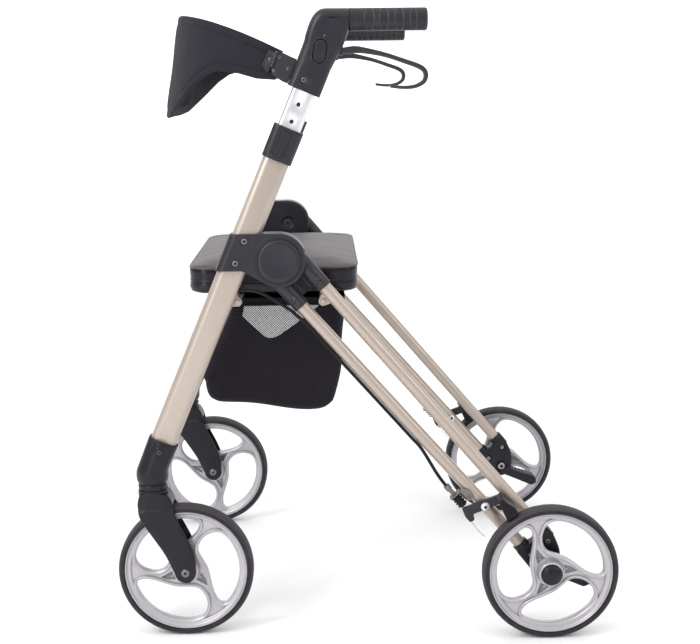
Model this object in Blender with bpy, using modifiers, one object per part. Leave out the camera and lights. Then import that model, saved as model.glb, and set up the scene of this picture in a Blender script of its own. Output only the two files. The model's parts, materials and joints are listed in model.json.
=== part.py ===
"""Four-wheeled rollator with a front-to-back fold, padded seat, bag and back strap.

Metres, +Z up, +X from the front wheels towards the user, floor at z = 0, and the
origin half way between the axles. Every side piece is built once for the left side
(y < 0) in the frame of what carries it, and then mirrored to the right.
"""
from math import atan2, cos, hypot, pi, radians, sin, tan

import bmesh
import bpy
from mathutils import Matrix, Vector

# Clearances
GAP = 0.0003
SLIDE_GAP = 0.0005
BRAKE_GAP = 0.0018

# Wheels
WHEEL_RADIUS = 0.100
WHEEL_SEGMENTS = 32
RIM_SEGMENTS = 24
TYRE_WIDTH = 0.028
TYRE_DEPTH = 0.0088
TYRE_SHOULDER = 0.005
RIM_WIDTH = 0.022
RIM_RING = 0.0106
RIM_LIP = 0.003
WEB_THICKNESS = 0.010
HUB_RADIUS = 0.0185
HUB_WIDTH = 0.031
POCKET_DEPTH = 0.0025
SPOKES = 3
FRONT_AXLE_RADIUS = 0.004
REAR_AXLE_RADIUS = 0.006
AXLE_HEAD_RADIUS = 0.0062
AXLE_HEAD_HEIGHT = 0.003
HUB_CAP_RADIUS = 0.0152
HUB_CAP_HEIGHT = 0.009
REAR_PHASE_LEFT = radians(-4)
REAR_PHASE_RIGHT = radians(-11)
FRONT_PHASE_LEFT = radians(-46)
FRONT_PHASE_RIGHT = radians(-75)

# Layout of the side frames
WHEELBASE = 0.5342
FRAME_HALF_WIDTH = 0.250
REAR_WHEEL_OFFSET = 0.0376
STEM_TRAIL = 0.0452
MAST_LEAN = radians(23.13)
HUB_ALONG_MAST = 0.3566
HUB_BEHIND_MAST = 0.0563

# Front tube and the tube that slides in it
MAST_LENGTH = 0.0385
MAST_DEPTH = 0.024
MAST_CORNER = 0.0075
MAST_WALL = 0.0016
MAST_START = 0.012
MAST_TOP = 0.5310
SLIDER_INSERT = 0.127
SLIDER_LENGTH = 0.0332
SLIDER_DEPTH = 0.0186
SLIDER_CORNER = 0.0055
SLIDER_WALL = 0.0015
SLIDER_IN_HOUSING = 0.050
HOLE_PITCH = 0.0254
HOLE_RADIUS = 0.003
HOLE_COUNT = 5
FIRST_HOLE_BELOW = 0.0194

# Height collar and its push button
COLLAR_LENGTH = 0.048
COLLAR_LIP = 0.0027
COLLAR_WIDTH = 0.0437
COLLAR_DEPTH = 0.0324
COLLAR_CORNER = 0.010
COLLAR_BUTTON_LENGTH = 0.038
COLLAR_BUTTON_WIDTH = 0.0137
COLLAR_POCKET_DEPTH = 0.0030
BUTTON_PROUD = 0.0012
BUTTON_TRAVEL = 0.0014

# Handle housing, its oval button and the grip
HANDLE_SETTING = 0.0548
HOUSING_HALF_WIDTH = 0.0242
HOUSING_DEPTH = 0.034
HOUSING_SWELL = 0.0015
HOUSING_SWELL_HEIGHT = 0.062
HOUSING_ROUND = 0.009
OVAL_LENGTH = 0.033
OVAL_WIDTH = 0.0188
OVAL_ABOVE = 0.0586
OVAL_TURN = radians(-15)
OVAL_POCKET_DEPTH = 0.0030
GRIP_BEHIND = 0.0201
GRIP_ABOVE = 0.11342
GRIP_LENGTH = 0.1086
GRIP_RADIUS = 0.0156
GRIP_CORE_RADIUS = 0.011
GRIP_CORE_LENGTH = 0.096

# Brake lever
LEVER_PIVOT_BEHIND = 0.0125
LEVER_PIVOT_BELOW = 0.0420
LEVER_WIDTH = 0.012
LEVER_EYE = 0.0068
LEVER_SLOT_DEPTH = 0.022

# Hinge bracket round the front tube and over the hub
BRACKET_HALF_WIDTH = 0.0223
BRACKET_DISC = 0.038
BRACKET_BOTTOM = 0.0115
BRACKET_PLATE = 0.006
BRACKET_ROUND = 0.0022
CAP_RADIUS = 0.0305
CAP_HEIGHT = 0.003
PIN_RADIUS = 0.005
PIN_HEAD_RADIUS = 0.0085

# Rear leg
LEG_TUBE_RADIUS = 0.0095
LEG_TUBE_WALL = 0.0013
LEG_TUBE_START = 0.034
LOWER_TUBE_FROM = -0.0197
LOWER_TUBE_TO = -0.0107
UPPER_TUBE_FROM = 0.0233
UPPER_TUBE_TO = 0.0253
SOCKET_DISC = 0.0312
SOCKET_RADIUS = 0.0118
SOCKET_START = 0.016
SOCKET_END = 0.0712
SOCKET_WEB_END = 0.064
SOCKET_WEB_HALF = 0.005

# Axle bracket at the foot of the rear leg, measured from the axle
FOOT_SOCKET = 0.050
FOOT_BORE = 0.030
FOOT_DEPTH = 0.024
FOOT_ROUND = 0.0025
PEDAL_OUT = 0.0115
PEDAL_IN = 0.016

# Brake on the lower rear tube
BRAKE_FROM_TYRE = 0.0294
BRAKE_ABOVE_TUBE = 0.0010
BRAKE_ARM_TURN = radians(70.8)
BRAKE_ARM_THICK = 0.007
BRAKE_PIVOT_RADIUS = 0.003
BRAKE_SHOE_OUT = 0.0485
STOP_BEFORE_BRAKE = 0.0427
STOP_BELOW_LEG = 0.0217
BOOT_LENGTH = 0.0195
BOOT_RADIUS = 0.0075
BOOT_RIBS = 4
ADJUSTER_LENGTH = 0.015
FLANGE_THICKNESS = 0.0019
FLANGE_WIDTH = 0.016
CABLE_RADIUS = 0.0025
CABLE_SIDE = -0.0105
CABLE_EXIT_BELOW_HUB = 0.0698
CABLE_SLANT = radians(38)
CABLE_JOINS_LEG = 0.100
CABLE_LEAVES_LEG = 0.1075

# Caster
CASTER_TOP = 0.0473
CASTER_RADIUS = 0.0216
CASTER_SKIRT = 0.0175
CASTER_FOOT_ABOVE = 0.0185
CASTER_SLEEVE_WIDTH = 0.0432
CASTER_SLEEVE_DEPTH = 0.030
CASTER_SLEEVE_CORNER = 0.010
STEM_RADIUS = 0.006
STEM_LENGTH = 0.014
STEM_RING = 0.0153
FORK_CLEARANCE = 0.0197
FORK_HALF_WIDTH = 0.0225
FORK_LEG = 0.0062
FORK_EYE = 0.0155
FORK_ROUND = 0.002

# Cross bars under the seat
BAR_RADIUS = 0.005
BAR_SPIGOT = 0.003
BAR_HEAD = 0.0042
LUG_RADIUS = 0.0065
LUG_THICKNESS = 0.004
FRONT_LUG_BELOW_HUB = 0.0809
FRONT_LUG_BEHIND = 0.0240
REAR_LUG_ABOVE = 0.0072
REAR_LUG_SIDE = 0.0045

# Seat
SEAT_LENGTH = 0.2500
SEAT_HALF_WIDTH = 0.2045
SEAT_FRONT = 0.0745
SEAT_THICKNESS = 0.036
SEAT_CROWN = 0.013
SEAT_CORNER = 0.030
SEAT_DRAWN_IN = 0.0020
BOARD_THICKNESS = 0.0045
BOARD_INSET = 0.020
CLIP_WIDTH = 0.020
CLIP_WALL = 0.003
CLIP_SPACING = 0.240

# Bag
BAG_HALF_WIDTH = 0.175
BAG_DROP = 0.1713
BAG_WALL = 0.003
BAG_FRONT_REACH = 0.0530
BAG_BACK_REACH = 0.0326

# Back strap
STRAP_DEPTH = 0.1610
STRAP_LEAN = 0.0240
STRAP_CURVE = 2.4
STRAP_TOP_RISE = 0.056
STRAP_TOP_CURVE = 1.45
STRAP_LOW_EDGE = ((0.0, -0.039), (0.15, -0.037), (0.30, -0.0295), (0.476, -0.0255), (0.56, -0.030),
                  (0.663, -0.043), (0.811, -0.070), (0.92, -0.091), (1.0, -0.101))
STRAP_THICKNESS = 0.009
STRAP_END_ABOVE = 0.0395
STRAP_END_AHEAD = 0.0475
HINGE_THICKNESS = 0.003
HINGE_BARREL = 0.0030
HINGE_TOP = 0.0368
HINGE_BOTTOM = 0.0010
HINGE_SPLIT = 0.0540
HINGE_END = 0.0660
HINGE_SIDE = -0.0014

# Derived places
AXLE_Z = WHEEL_RADIUS * cos(pi / WHEEL_SEGMENTS)
FRONT_AXLE_X = -WHEELBASE / 2
REAR_AXLE_X = WHEELBASE / 2
FORK_TOP_Z = AXLE_Z + WHEEL_RADIUS + FORK_CLEARANCE
CASTER_BOTTOM_Z = FORK_TOP_Z + STEM_RING
CASTER_ELBOW_Z = CASTER_BOTTOM_Z + CASTER_SKIRT
STEM_TOP_Z = CASTER_BOTTOM_Z + STEM_LENGTH
MAST_FOOT_Z = CASTER_BOTTOM_Z + CASTER_FOOT_ABOVE
SLIDER_START = MAST_TOP - SLIDER_INSERT
COLLAR_START = MAST_TOP + COLLAR_LIP - COLLAR_LENGTH
HOUSING_START = COLLAR_START + COLLAR_LENGTH + HANDLE_SETTING
FIRST_HOLE = HOUSING_START - FIRST_HOLE_BELOW
CABLE_EXIT = HUB_ALONG_MAST - CABLE_EXIT_BELOW_HUB
FRONT_LUG_ALONG = HUB_ALONG_MAST - FRONT_LUG_BELOW_HUB
STEM_X = FRONT_AXLE_X - STEM_TRAIL
TYRE_BORE = WHEEL_RADIUS - TYRE_DEPTH
RIM_RADIUS = TYRE_BORE * cos(pi / WHEEL_SEGMENTS) - GAP
HUB_X = STEM_X + HUB_ALONG_MAST * sin(MAST_LEAN) + HUB_BEHIND_MAST * cos(MAST_LEAN)
HUB_Z = MAST_FOOT_Z + HUB_ALONG_MAST * cos(MAST_LEAN) - HUB_BEHIND_MAST * sin(MAST_LEAN)
LEG_DIP = atan2(HUB_Z - AXLE_Z, REAR_AXLE_X - HUB_X)
LEG_LENGTH = hypot(REAR_AXLE_X - HUB_X, HUB_Z - AXLE_Z)
CLEVIS_HALF = SOCKET_RADIUS + SLIDE_GAP
BAR_FRONT_X = STEM_X + FRONT_LUG_ALONG * sin(MAST_LEAN) + FRONT_LUG_BEHIND * cos(MAST_LEAN)
BAR_FRONT_Z = MAST_FOOT_Z + FRONT_LUG_ALONG * cos(MAST_LEAN) - FRONT_LUG_BEHIND * sin(MAST_LEAN)
REAR_LUG_ALONG = (HUB_Z - BAR_FRONT_Z + REAR_LUG_ABOVE * cos(LEG_DIP)) / sin(LEG_DIP)
BAR_REAR_X = HUB_X + REAR_LUG_ALONG * cos(LEG_DIP) + REAR_LUG_ABOVE * sin(LEG_DIP)
BAR_REAR_Z = BAR_FRONT_Z
GRIP_START = STEM_X + (HOUSING_START + GRIP_ABOVE) * sin(MAST_LEAN) + GRIP_BEHIND * cos(MAST_LEAN)
GRIP_Z = MAST_FOOT_Z + (HOUSING_START + GRIP_ABOVE) * cos(MAST_LEAN) - GRIP_BEHIND * sin(MAST_LEAN)
STRAP_HALF_WIDTH = FRAME_HALF_WIDTH - HINGE_SIDE - HINGE_THICKNESS - GAP - STRAP_THICKNESS / 2

COLOURS = {
    "champagne": ((0.60, 0.52, 0.46), 0.35, 0.8),
    "silver": ((0.78, 0.79, 0.80), 0.30, 0.9),
    "black_plastic": ((0.035, 0.034, 0.038), 0.50, 0.0),
    "black_steel": ((0.020, 0.020, 0.022), 0.40, 0.3),
    "rim_plastic": ((0.62, 0.62, 0.63), 0.40, 0.1),
    "tyre": ((0.045, 0.043, 0.046), 0.75, 0.0),
    "grip": ((0.030, 0.029, 0.032), 0.70, 0.0),
    "rubber": ((0.018, 0.018, 0.019), 0.80, 0.0),
    "seat_vinyl": ((0.16, 0.14, 0.14), 0.55, 0.0),
    "fabric": ((0.012, 0.012, 0.014), 0.90, 0.0),
    "steel": ((0.70, 0.70, 0.69), 0.25, 1.0),
    "board": ((0.030, 0.030, 0.030), 0.70, 0.0),
}


# Scene, collections and materials

for old in list(bpy.data.objects):
    bpy.data.objects.remove(old, do_unlink=True)

PARTS = bpy.data.collections.new("rollator")
CUTTERS = bpy.data.collections.new("cutters")
bpy.context.scene.collection.children.link(PARTS)
bpy.context.scene.collection.children.link(CUTTERS)


def make_material(name):
    """Principled material of one finish."""
    colour, roughness, metallic = COLOURS[name]
    material = bpy.data.materials.new(name)
    material.use_nodes = True
    shader = material.node_tree.nodes["Principled BSDF"]
    shader.inputs["Base Color"].default_value = (*colour, 1.0)
    shader.inputs["Roughness"].default_value = roughness
    shader.inputs["Metallic"].default_value = metallic
    return material


MATERIALS = {name: make_material(name) for name in COLOURS}


# Mesh tools

def remove(obj):
    bpy.data.objects.remove(obj, do_unlink=True)


def bake(obj):
    """Turn a curve or an object with modifiers into one welded mesh facing outwards."""
    bpy.context.view_layer.update()
    graph = bpy.context.evaluated_depsgraph_get()
    mesh = bpy.data.meshes.new_from_object(obj.evaluated_get(graph))
    data = bmesh.new()
    data.from_mesh(mesh)
    bmesh.ops.remove_doubles(data, verts=data.verts, dist=1e-6)
    bmesh.ops.dissolve_degenerate(data, edges=data.edges, dist=1e-6)
    bmesh.ops.recalc_face_normals(data, faces=data.faces)
    data.to_mesh(mesh)
    data.free()
    solid = bpy.data.objects.new(obj.name + "_solid", mesh)
    solid.matrix_world = obj.matrix_world
    PARTS.objects.link(solid)
    remove(obj)
    return solid


def from_bmesh(name, data):
    """Object of a bmesh, in the collection of parts."""
    bmesh.ops.recalc_face_normals(data, faces=data.faces)
    mesh = bpy.data.meshes.new(name)
    data.to_mesh(mesh)
    data.free()
    obj = bpy.data.objects.new(name, mesh)
    PARTS.objects.link(obj)
    return obj


def moved(obj, offset=(0, 0, 0), turn=0.0):
    """Turn a blank's mesh about Y and shift it."""
    obj.data.transform(Matrix.Translation(Vector(offset)) @ Matrix.Rotation(turn, 4, "Y"))
    return obj


def rounded(obj, width, segments=1, limit=40):
    """Round the sharp edges of a blank."""
    bevel = obj.modifiers.new("round", "BEVEL")
    bevel.width = width
    bevel.segments = segments
    bevel.limit_method = "ANGLE"
    bevel.angle_limit = radians(limit)
    return bake(obj)


def combine(obj, tools, operation):
    """Boolean of a blank with tools; cutters stay as wire guides in their own collection."""
    solid = obj
    for tool in tools:
        change = solid.modifiers.new("combine", "BOOLEAN")
        change.operation = operation
        change.solver = "EXACT"
        change.object = tool
        solid = bake(solid)
        PARTS.objects.unlink(tool)
        if operation == "UNION":
            remove(tool)
        else:
            CUTTERS.objects.link(tool)
            tool.hide_render = True
            tool.display_type = "WIRE"
    return solid


def joined(obj, *tools):
    return combine(obj, tools, "UNION")


def cut(obj, *tools):
    return combine(obj, tools, "DIFFERENCE")


def arc(x, z, radius, start, end, steps):
    """Points on an arc, angles in degrees."""
    angles = [radians(start + (end - start) * i / steps) for i in range(steps + 1)]
    return [(x + radius * cos(a), z + radius * sin(a)) for a in angles]


def bezier(p0, p1, p2, p3, steps):
    """Points of a cubic curve, both ends included."""
    points = []
    for i in range(steps + 1):
        t = i / steps
        weights = ((1 - t) ** 3, 3 * t * (1 - t) ** 2, 3 * t * t * (1 - t), t ** 3)
        points.append(tuple(sum(w * p[k] for w, p in zip(weights, (p0, p1, p2, p3))) for k in (0, 1)))
    return points


def rounded_rectangle(width, depth, corner, steps=3):
    """Outline centred on the origin."""
    x = width / 2 - corner
    y = depth / 2 - corner
    points = arc(x, y, corner, 0, 90, steps) + arc(-x, y, corner, 90, 180, steps)
    return points + arc(-x, -y, corner, 180, 270, steps) + arc(x, -y, corner, 270, 360, steps)


def stadium(length, width, steps=6):
    """Long hole outline, its length along the second axis."""
    r = width / 2
    h = length / 2 - r
    return arc(0, h, r, 0, 180, steps) + arc(0, -h, r, 180, 360, steps)


def flat_curve(outlines, half):
    """Filled 2D curve of one or more closed outlines, half the thickness each way."""
    curve = bpy.data.curves.new("outline", "CURVE")
    curve.dimensions = "2D"
    curve.fill_mode = "BOTH"
    curve.extrude = half
    for outline in outlines:
        spline = curve.splines.new("POLY")
        spline.points.add(len(outline) - 1)
        for point, (a, b) in zip(spline.points, outline):
            point.co = (a, b, 0, 1)
        spline.use_cyclic_u = True
    obj = bpy.data.objects.new("outline", curve)
    PARTS.objects.link(obj)
    return bake(obj)


def plate(outline, near, far, *holes):
    """Outline in X and Z, from y = near to y = far."""
    obj = flat_curve([outline, *holes], abs(far - near) / 2)
    obj.data.transform(Matrix.Translation((0, (near + far) / 2, 0)) @ Matrix.Rotation(pi / 2, 4, "X"))
    return obj


def column(outline, low, high, *holes):
    """Outline in X and Y, from z = low to z = high."""
    obj = flat_curve([outline, *holes], (high - low) / 2)
    obj.data.transform(Matrix.Translation((0, 0, (low + high) / 2)))
    return obj


def lathe(profile, axis="Y", segments=24):
    """Closed profile of (radius, height) points turned about an axis."""
    mesh = bpy.data.meshes.new("profile")
    closed = [(i, (i + 1) % len(profile)) for i in range(len(profile))]
    edges = [(a, b) for a, b in closed if profile[a][0] > 0 or profile[b][0] > 0]
    mesh.from_pydata([(r, 0, h) for r, h in profile], edges, [])
    obj = bpy.data.objects.new("profile", mesh)
    PARTS.objects.link(obj)
    screw = obj.modifiers.new("turn", "SCREW")
    screw.steps = segments
    screw.render_steps = segments
    screw.use_merge_vertices = True
    screw.merge_threshold = 1e-6
    solid = bake(obj)
    if axis == "Y":
        solid.data.transform(Matrix.Rotation(-pi / 2, 4, "X"))
    if axis == "X":
        solid.data.transform(Matrix.Rotation(pi / 2, 4, "Y"))
    return solid


def cylinder(radius, start, end, segments=16, end_radius=None):
    """Round bar or cone between two points."""
    start = Vector(start)
    end = Vector(end)
    data = bmesh.new()
    bmesh.ops.create_cone(data, cap_ends=True, segments=segments, radius1=radius,
                          radius2=radius if end_radius is None else end_radius,
                          depth=(end - start).length)
    turn = (end - start).to_track_quat("Z", "Y").to_matrix().to_4x4()
    bmesh.ops.transform(data, matrix=Matrix.Translation((start + end) / 2) @ turn, verts=data.verts)
    return from_bmesh("cylinder", data)


def box(low, high):
    """Block between two corners."""
    data = bmesh.new()
    bmesh.ops.create_cube(data, size=1)
    centre = [(a + b) / 2 for a, b in zip(low, high)]
    size = [b - a for a, b in zip(low, high)]
    bmesh.ops.transform(data, matrix=Matrix.Translation(centre) @ Matrix.Diagonal((*size, 1)),
                        verts=data.verts)
    return from_bmesh("box", data)


def hull(points):
    """Smallest convex solid round the points."""
    data = bmesh.new()
    for point in points:
        data.verts.new(point)
    result = bmesh.ops.convex_hull(data, input=data.verts)
    spare = {v for v in result["geom_interior"] + result["geom_unused"]
             if isinstance(v, bmesh.types.BMVert)}
    bmesh.ops.delete(data, geom=list(spare), context="VERTS")
    return from_bmesh("hull", data)


def wire(points, radius, resolution=2):
    """Round wire with closed ends along the points."""
    curve = bpy.data.curves.new("wire", "CURVE")
    curve.dimensions = "3D"
    curve.bevel_depth = radius
    curve.bevel_resolution = resolution
    curve.use_fill_caps = True
    spline = curve.splines.new("POLY")
    spline.points.add(len(points) - 1)
    for point, place in zip(spline.points, points):
        point.co = (*place, 1)
    obj = bpy.data.objects.new("wire", curve)
    PARTS.objects.link(obj)
    return bake(obj)


def smooth_route(points, spacing):
    """Points at about the given spacing on a smooth curve through the route's points."""
    route = [Vector(p) for p in points]
    ends = [2 * route[0] - route[1], *route, 2 * route[-1] - route[-2]]
    result = []
    for a, b, c, d in zip(ends, ends[1:], ends[2:], ends[3:]):
        steps = max(1, round((c - b).length / spacing))
        for i in range(steps):
            t = i / steps
            result.append(0.5 * (2 * b + (c - a) * t + (2 * a - 5 * b + 4 * c - d) * t * t
                                 + (3 * b - a - 3 * c + d) * t ** 3))
    return result + [route[-1]]


def named(obj, name, material, parent=None):
    """Give a finished blank its node name, material, shading and parent."""
    obj.name = name
    obj.data.name = name
    obj.data.materials.clear()
    obj.data.materials.append(MATERIALS[material])
    obj.data.shade_smooth()
    obj.data.set_sharp_from_angle(angle=radians(35))
    if parent is not None:
        obj.parent = parent
    return obj


def frame(name, place, dip=0.0):
    """Empty that carries pieces: a place and a turn about Y."""
    empty = bpy.data.objects.new(name, None)
    PARTS.objects.link(empty)
    empty.location = place
    empty.rotation_euler = (0, dip, 0)
    empty.empty_display_size = 0.02
    return empty


# Frames of the left side: local -Y points outwards

LEFT = -FRAME_HALF_WIDTH
mast_frame = frame("mast_frame", (STEM_X, LEFT, MAST_FOOT_Z), MAST_LEAN)
hub_frame = frame("hub_frame", (HUB_X, LEFT, HUB_Z))
leg_frame = frame("leg_frame", (HUB_X, LEFT, HUB_Z), LEG_DIP)
stem_frame = frame("stem_frame", (STEM_X, LEFT, 0))
front_axle_frame = frame("front_axle_frame", (FRONT_AXLE_X, LEFT, AXLE_Z))
rear_axle_frame = frame("rear_axle_frame", (REAR_AXLE_X, LEFT - REAR_WHEEL_OFFSET, AXLE_Z))


def mast_point(x, z):
    """World x and z in the frame of the mast."""
    dx = x - STEM_X
    dz = z - MAST_FOOT_Z
    return (dx * cos(MAST_LEAN) - dz * sin(MAST_LEAN), dx * sin(MAST_LEAN) + dz * cos(MAST_LEAN))


def leg_tube_height(start, end, along):
    """Height of a rear tube's centre line over the line from hub to axle."""
    return start + (end - start) * (along - SOCKET_END) / (LEG_LENGTH - FOOT_SOCKET - SOCKET_END)


# Wheels

def comma_opening(outer):
    """Opening between two swept spokes; the curves' ends are shares of the opening's outer radius."""
    def at(x, z):
        return (x * outer, z * outer)

    fat = arc(0, 0, outer, 1, 95, 5)
    tail = bezier(fat[-1], at(-0.185, 0.918), at(-0.236, 0.714), at(-0.230, 0.561), 2)
    hub_side = bezier(tail[-1], at(-0.217, 0.344), at(-0.051, 0.312), at(0.115, 0.306), 3)
    sweep = bezier(hub_side[-1], at(0.383, 0.274), at(0.574, 0.026), at(0.842, -0.013), 3)
    corner = bezier(sweep[-1], at(0.899, -0.031), at(0.976, -0.056), fat[0], 2)
    return fat + tail[1:] + hub_side[1:] + sweep[1:] + corner[1:-1]


def spoke_pocket(outer):
    """Blind three-cornered pocket in the wide foot of a spoke."""
    corners = ((-0.270, 0.446), (-0.312, 0.147), (-0.210, 0.210), (-0.134, 0.261))
    return [(x * outer, z * outer) for x, z in corners]


def turned_outline(points, angle):
    return [(x * cos(angle) - z * sin(angle), x * sin(angle) + z * cos(angle)) for x, z in points]


def make_rim(bore):
    """Rim with its ring, hub and web, opened by three comma shapes."""
    ring = RIM_WIDTH / 2
    web = WEB_THICKNESS / 2
    hub = HUB_WIDTH / 2
    inner = RIM_RADIUS - RIM_RING
    opening = inner - 0.0015
    lip = RIM_RADIUS - RIM_LIP
    half = [(bore, hub), (HUB_RADIUS, hub), (HUB_RADIUS + 0.001, web), (inner - 0.001, web),
            (lip, ring), (RIM_RADIUS, ring)]
    rim = lathe(half + [(r, -h) for r, h in half[::-1]], segments=RIM_SEGMENTS)
    cutters = []
    for i in range(SPOKES):
        angle = 2 * pi * i / SPOKES
        cutters.append(plate(turned_outline(comma_opening(opening), angle), -ring, ring))
        for side in (-1, 1):
            pocket = turned_outline(spoke_pocket(opening), angle)
            cutters.append(plate(pocket, side * (web - POCKET_DEPTH), side * ring))
    return cut(rim, *cutters)


def make_tyre():
    """Solid tyre with round shoulders, seated round the rim."""
    half = TYRE_WIDTH / 2
    inner = TYRE_BORE
    shoulder = WHEEL_RADIUS - TYRE_SHOULDER
    profile = [
        (inner, half), (shoulder, half), (WHEEL_RADIUS - 0.0015, half - 0.0025),
        (WHEEL_RADIUS, half - TYRE_SHOULDER - 0.001), (WHEEL_RADIUS, TYRE_SHOULDER + 0.001 - half),
        (WHEEL_RADIUS - 0.0015, 0.0025 - half), (shoulder, -half), (inner, -half)]
    tyre = lathe(profile, segments=WHEEL_SEGMENTS)
    return moved(tyre, turn=pi / WHEEL_SEGMENTS)


def make_front_axle():
    """Bolt through both legs of the fork, with a head at each end."""
    reach = FORK_HALF_WIDTH + GAP
    head = reach + AXLE_HEAD_HEIGHT
    profile = [(0, head), (AXLE_HEAD_RADIUS - 0.001, head), (AXLE_HEAD_RADIUS, head - 0.001),
               (AXLE_HEAD_RADIUS, reach), (FRONT_AXLE_RADIUS, reach),
               (FRONT_AXLE_RADIUS, -reach), (AXLE_HEAD_RADIUS, -reach),
               (AXLE_HEAD_RADIUS, 0.001 - head), (AXLE_HEAD_RADIUS - 0.001, -head), (0, -head)]
    return lathe(profile, segments=12)


def make_rear_axle():
    """Bolt through the axle bracket and the wheel, with a domed cap outside."""
    cap = HUB_WIDTH / 2 + GAP
    inner = REAR_WHEEL_OFFSET + FOOT_DEPTH / 2 + GAP
    dome = [(HUB_CAP_RADIUS * cos(a), cap + 0.002 + (HUB_CAP_HEIGHT - 0.002) * sin(a))
            for a in (radians(70 - 35 * i) for i in range(3))]
    profile = [(0, cap + HUB_CAP_HEIGHT), *dome, (HUB_CAP_RADIUS, cap), (REAR_AXLE_RADIUS, cap),
               (REAR_AXLE_RADIUS, -inner), (AXLE_HEAD_RADIUS + 0.002, -inner),
               (AXLE_HEAD_RADIUS + 0.002, -inner - AXLE_HEAD_HEIGHT), (0, -inner - AXLE_HEAD_HEIGHT)]
    return lathe([(r, -h) for r, h in profile], segments=16)


# Front tube, sliding tube and collar

def make_front_tube():
    """Hollow oval tube with the lug of the front cross bar and the cable's exit."""
    outer = rounded_rectangle(MAST_LENGTH, MAST_DEPTH, MAST_CORNER)
    bore = rounded_rectangle(MAST_LENGTH - 2 * MAST_WALL, MAST_DEPTH - 2 * MAST_WALL,
                             MAST_CORNER - MAST_WALL, 2)
    tube = column(outer, MAST_START, MAST_TOP, bore)
    face = MAST_DEPTH / 2
    wall = MAST_LENGTH / 2 - MAST_CORNER
    tab = arc(FRONT_LUG_BEHIND, FRONT_LUG_ALONG, LUG_RADIUS, 80, -80, 8)
    tab += [(wall, FRONT_LUG_ALONG - 2 * LUG_RADIUS), (wall, FRONT_LUG_ALONG + 2 * LUG_RADIUS)]
    lug = plate(tab, face - LUG_THICKNESS, face - GAP)
    lug = cut(lug, cylinder(BAR_SPIGOT + GAP, (FRONT_LUG_BEHIND, 0, FRONT_LUG_ALONG),
                            (FRONT_LUG_BEHIND, MAST_DEPTH, FRONT_LUG_ALONG), 10))
    exit_hole = cylinder(CABLE_RADIUS + 0.0012, cable_at_wall(-0.008), cable_at_wall(0.012), 10)
    return cut(joined(tube, lug), exit_hole)


def cable_at_wall(distance):
    """Point of the cable's straight run through the rear wall of the front tube."""
    return (MAST_LENGTH / 2 + distance * cos(CABLE_SLANT), 0, CABLE_EXIT - distance * sin(CABLE_SLANT))


def make_handle_tube():
    """Hollow tube that slides in the front tube, with a row of locating holes outside."""
    outer = rounded_rectangle(SLIDER_LENGTH, SLIDER_DEPTH, SLIDER_CORNER)
    bore = rounded_rectangle(SLIDER_LENGTH - 2 * SLIDER_WALL, SLIDER_DEPTH - 2 * SLIDER_WALL,
                             SLIDER_CORNER - SLIDER_WALL, 2)
    tube = column(outer, SLIDER_START, HOUSING_START + SLIDER_IN_HOUSING, bore)
    holes = []
    for i in range(HOLE_COUNT):
        along = FIRST_HOLE - i * HOLE_PITCH
        holes.append(cylinder(HOLE_RADIUS, (0, -SLIDER_DEPTH, along), (0, 0, along), 8))
    return cut(tube, *holes)


def make_collar():
    """Clamp sleeve on the top of the front tube, with a button pocket outside."""
    end = COLLAR_START + COLLAR_LENGTH
    body = column(rounded_rectangle(COLLAR_WIDTH, COLLAR_DEPTH, COLLAR_CORNER), COLLAR_START, end)
    body = rounded(body, 0.0008)
    seat = rounded_rectangle(MAST_LENGTH + 2 * GAP, MAST_DEPTH + 2 * GAP, MAST_CORNER + GAP)
    mouth = rounded_rectangle(SLIDER_LENGTH + 2 * SLIDE_GAP, SLIDER_DEPTH + 2 * SLIDE_GAP,
                              SLIDER_CORNER + SLIDE_GAP)
    pocket = plate(stadium_box(COLLAR_BUTTON_LENGTH, COLLAR_BUTTON_WIDTH, 0.003),
                   -COLLAR_DEPTH, COLLAR_POCKET_DEPTH - COLLAR_DEPTH / 2)
    return cut(body, column(seat, COLLAR_START - 0.01, MAST_TOP + GAP),
               column(mouth, COLLAR_START - 0.01, end + 0.01),
               moved(pocket, (0, 0, collar_button_along())))


def collar_button_along():
    return COLLAR_START + COLLAR_LENGTH / 2


def stadium_box(length, width, corner):
    """Rounded rectangle with its length along the second axis."""
    return rounded_rectangle(width, length, corner, 3)


def make_button(outline, depth, pocket, back):
    """Push button standing a little proud of its pocket."""
    button = plate(outline, -depth / 2 - BUTTON_PROUD, pocket - depth / 2 - back)
    return rounded(button, 0.0006, 1, 60)


def make_collar_button():
    outline = stadium_box(COLLAR_BUTTON_LENGTH - 2 * GAP, COLLAR_BUTTON_WIDTH - 2 * GAP, 0.003 - GAP)
    button = make_button(outline, COLLAR_DEPTH, COLLAR_POCKET_DEPTH, BUTTON_TRAVEL + GAP)
    return moved(button, (0, 0, collar_button_along()))


# Handle housing, button, grip and brake lever

def housing_outline():
    """Sleeve along the mast that bends back to the upright face of the grip."""
    top = GRIP_Z + GRIP_RADIUS
    bottom = GRIP_Z - GRIP_RADIUS
    w = HOUSING_HALF_WIDTH
    start = HOUSING_START
    face_top = mast_point(GRIP_START, top)
    face_bottom = mast_point(GRIP_START, bottom)
    bend = mast_point(GRIP_START - 0.029, top)
    front = bezier((-w - HOUSING_SWELL, start + HOUSING_SWELL_HEIGHT), (-w - 0.006, start + 0.092),
                   (bend[0] - 0.017, bend[1] - 0.006), bend, 5)
    back = bezier(face_bottom, (face_bottom[0] + 0.002, face_bottom[1] - 0.012),
                  (w + 0.001, start + 0.062), (w - 0.001, start + 0.040), 4)
    return [(-w, start), *front, face_top, *back, (w - 0.0008, start)]


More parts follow.
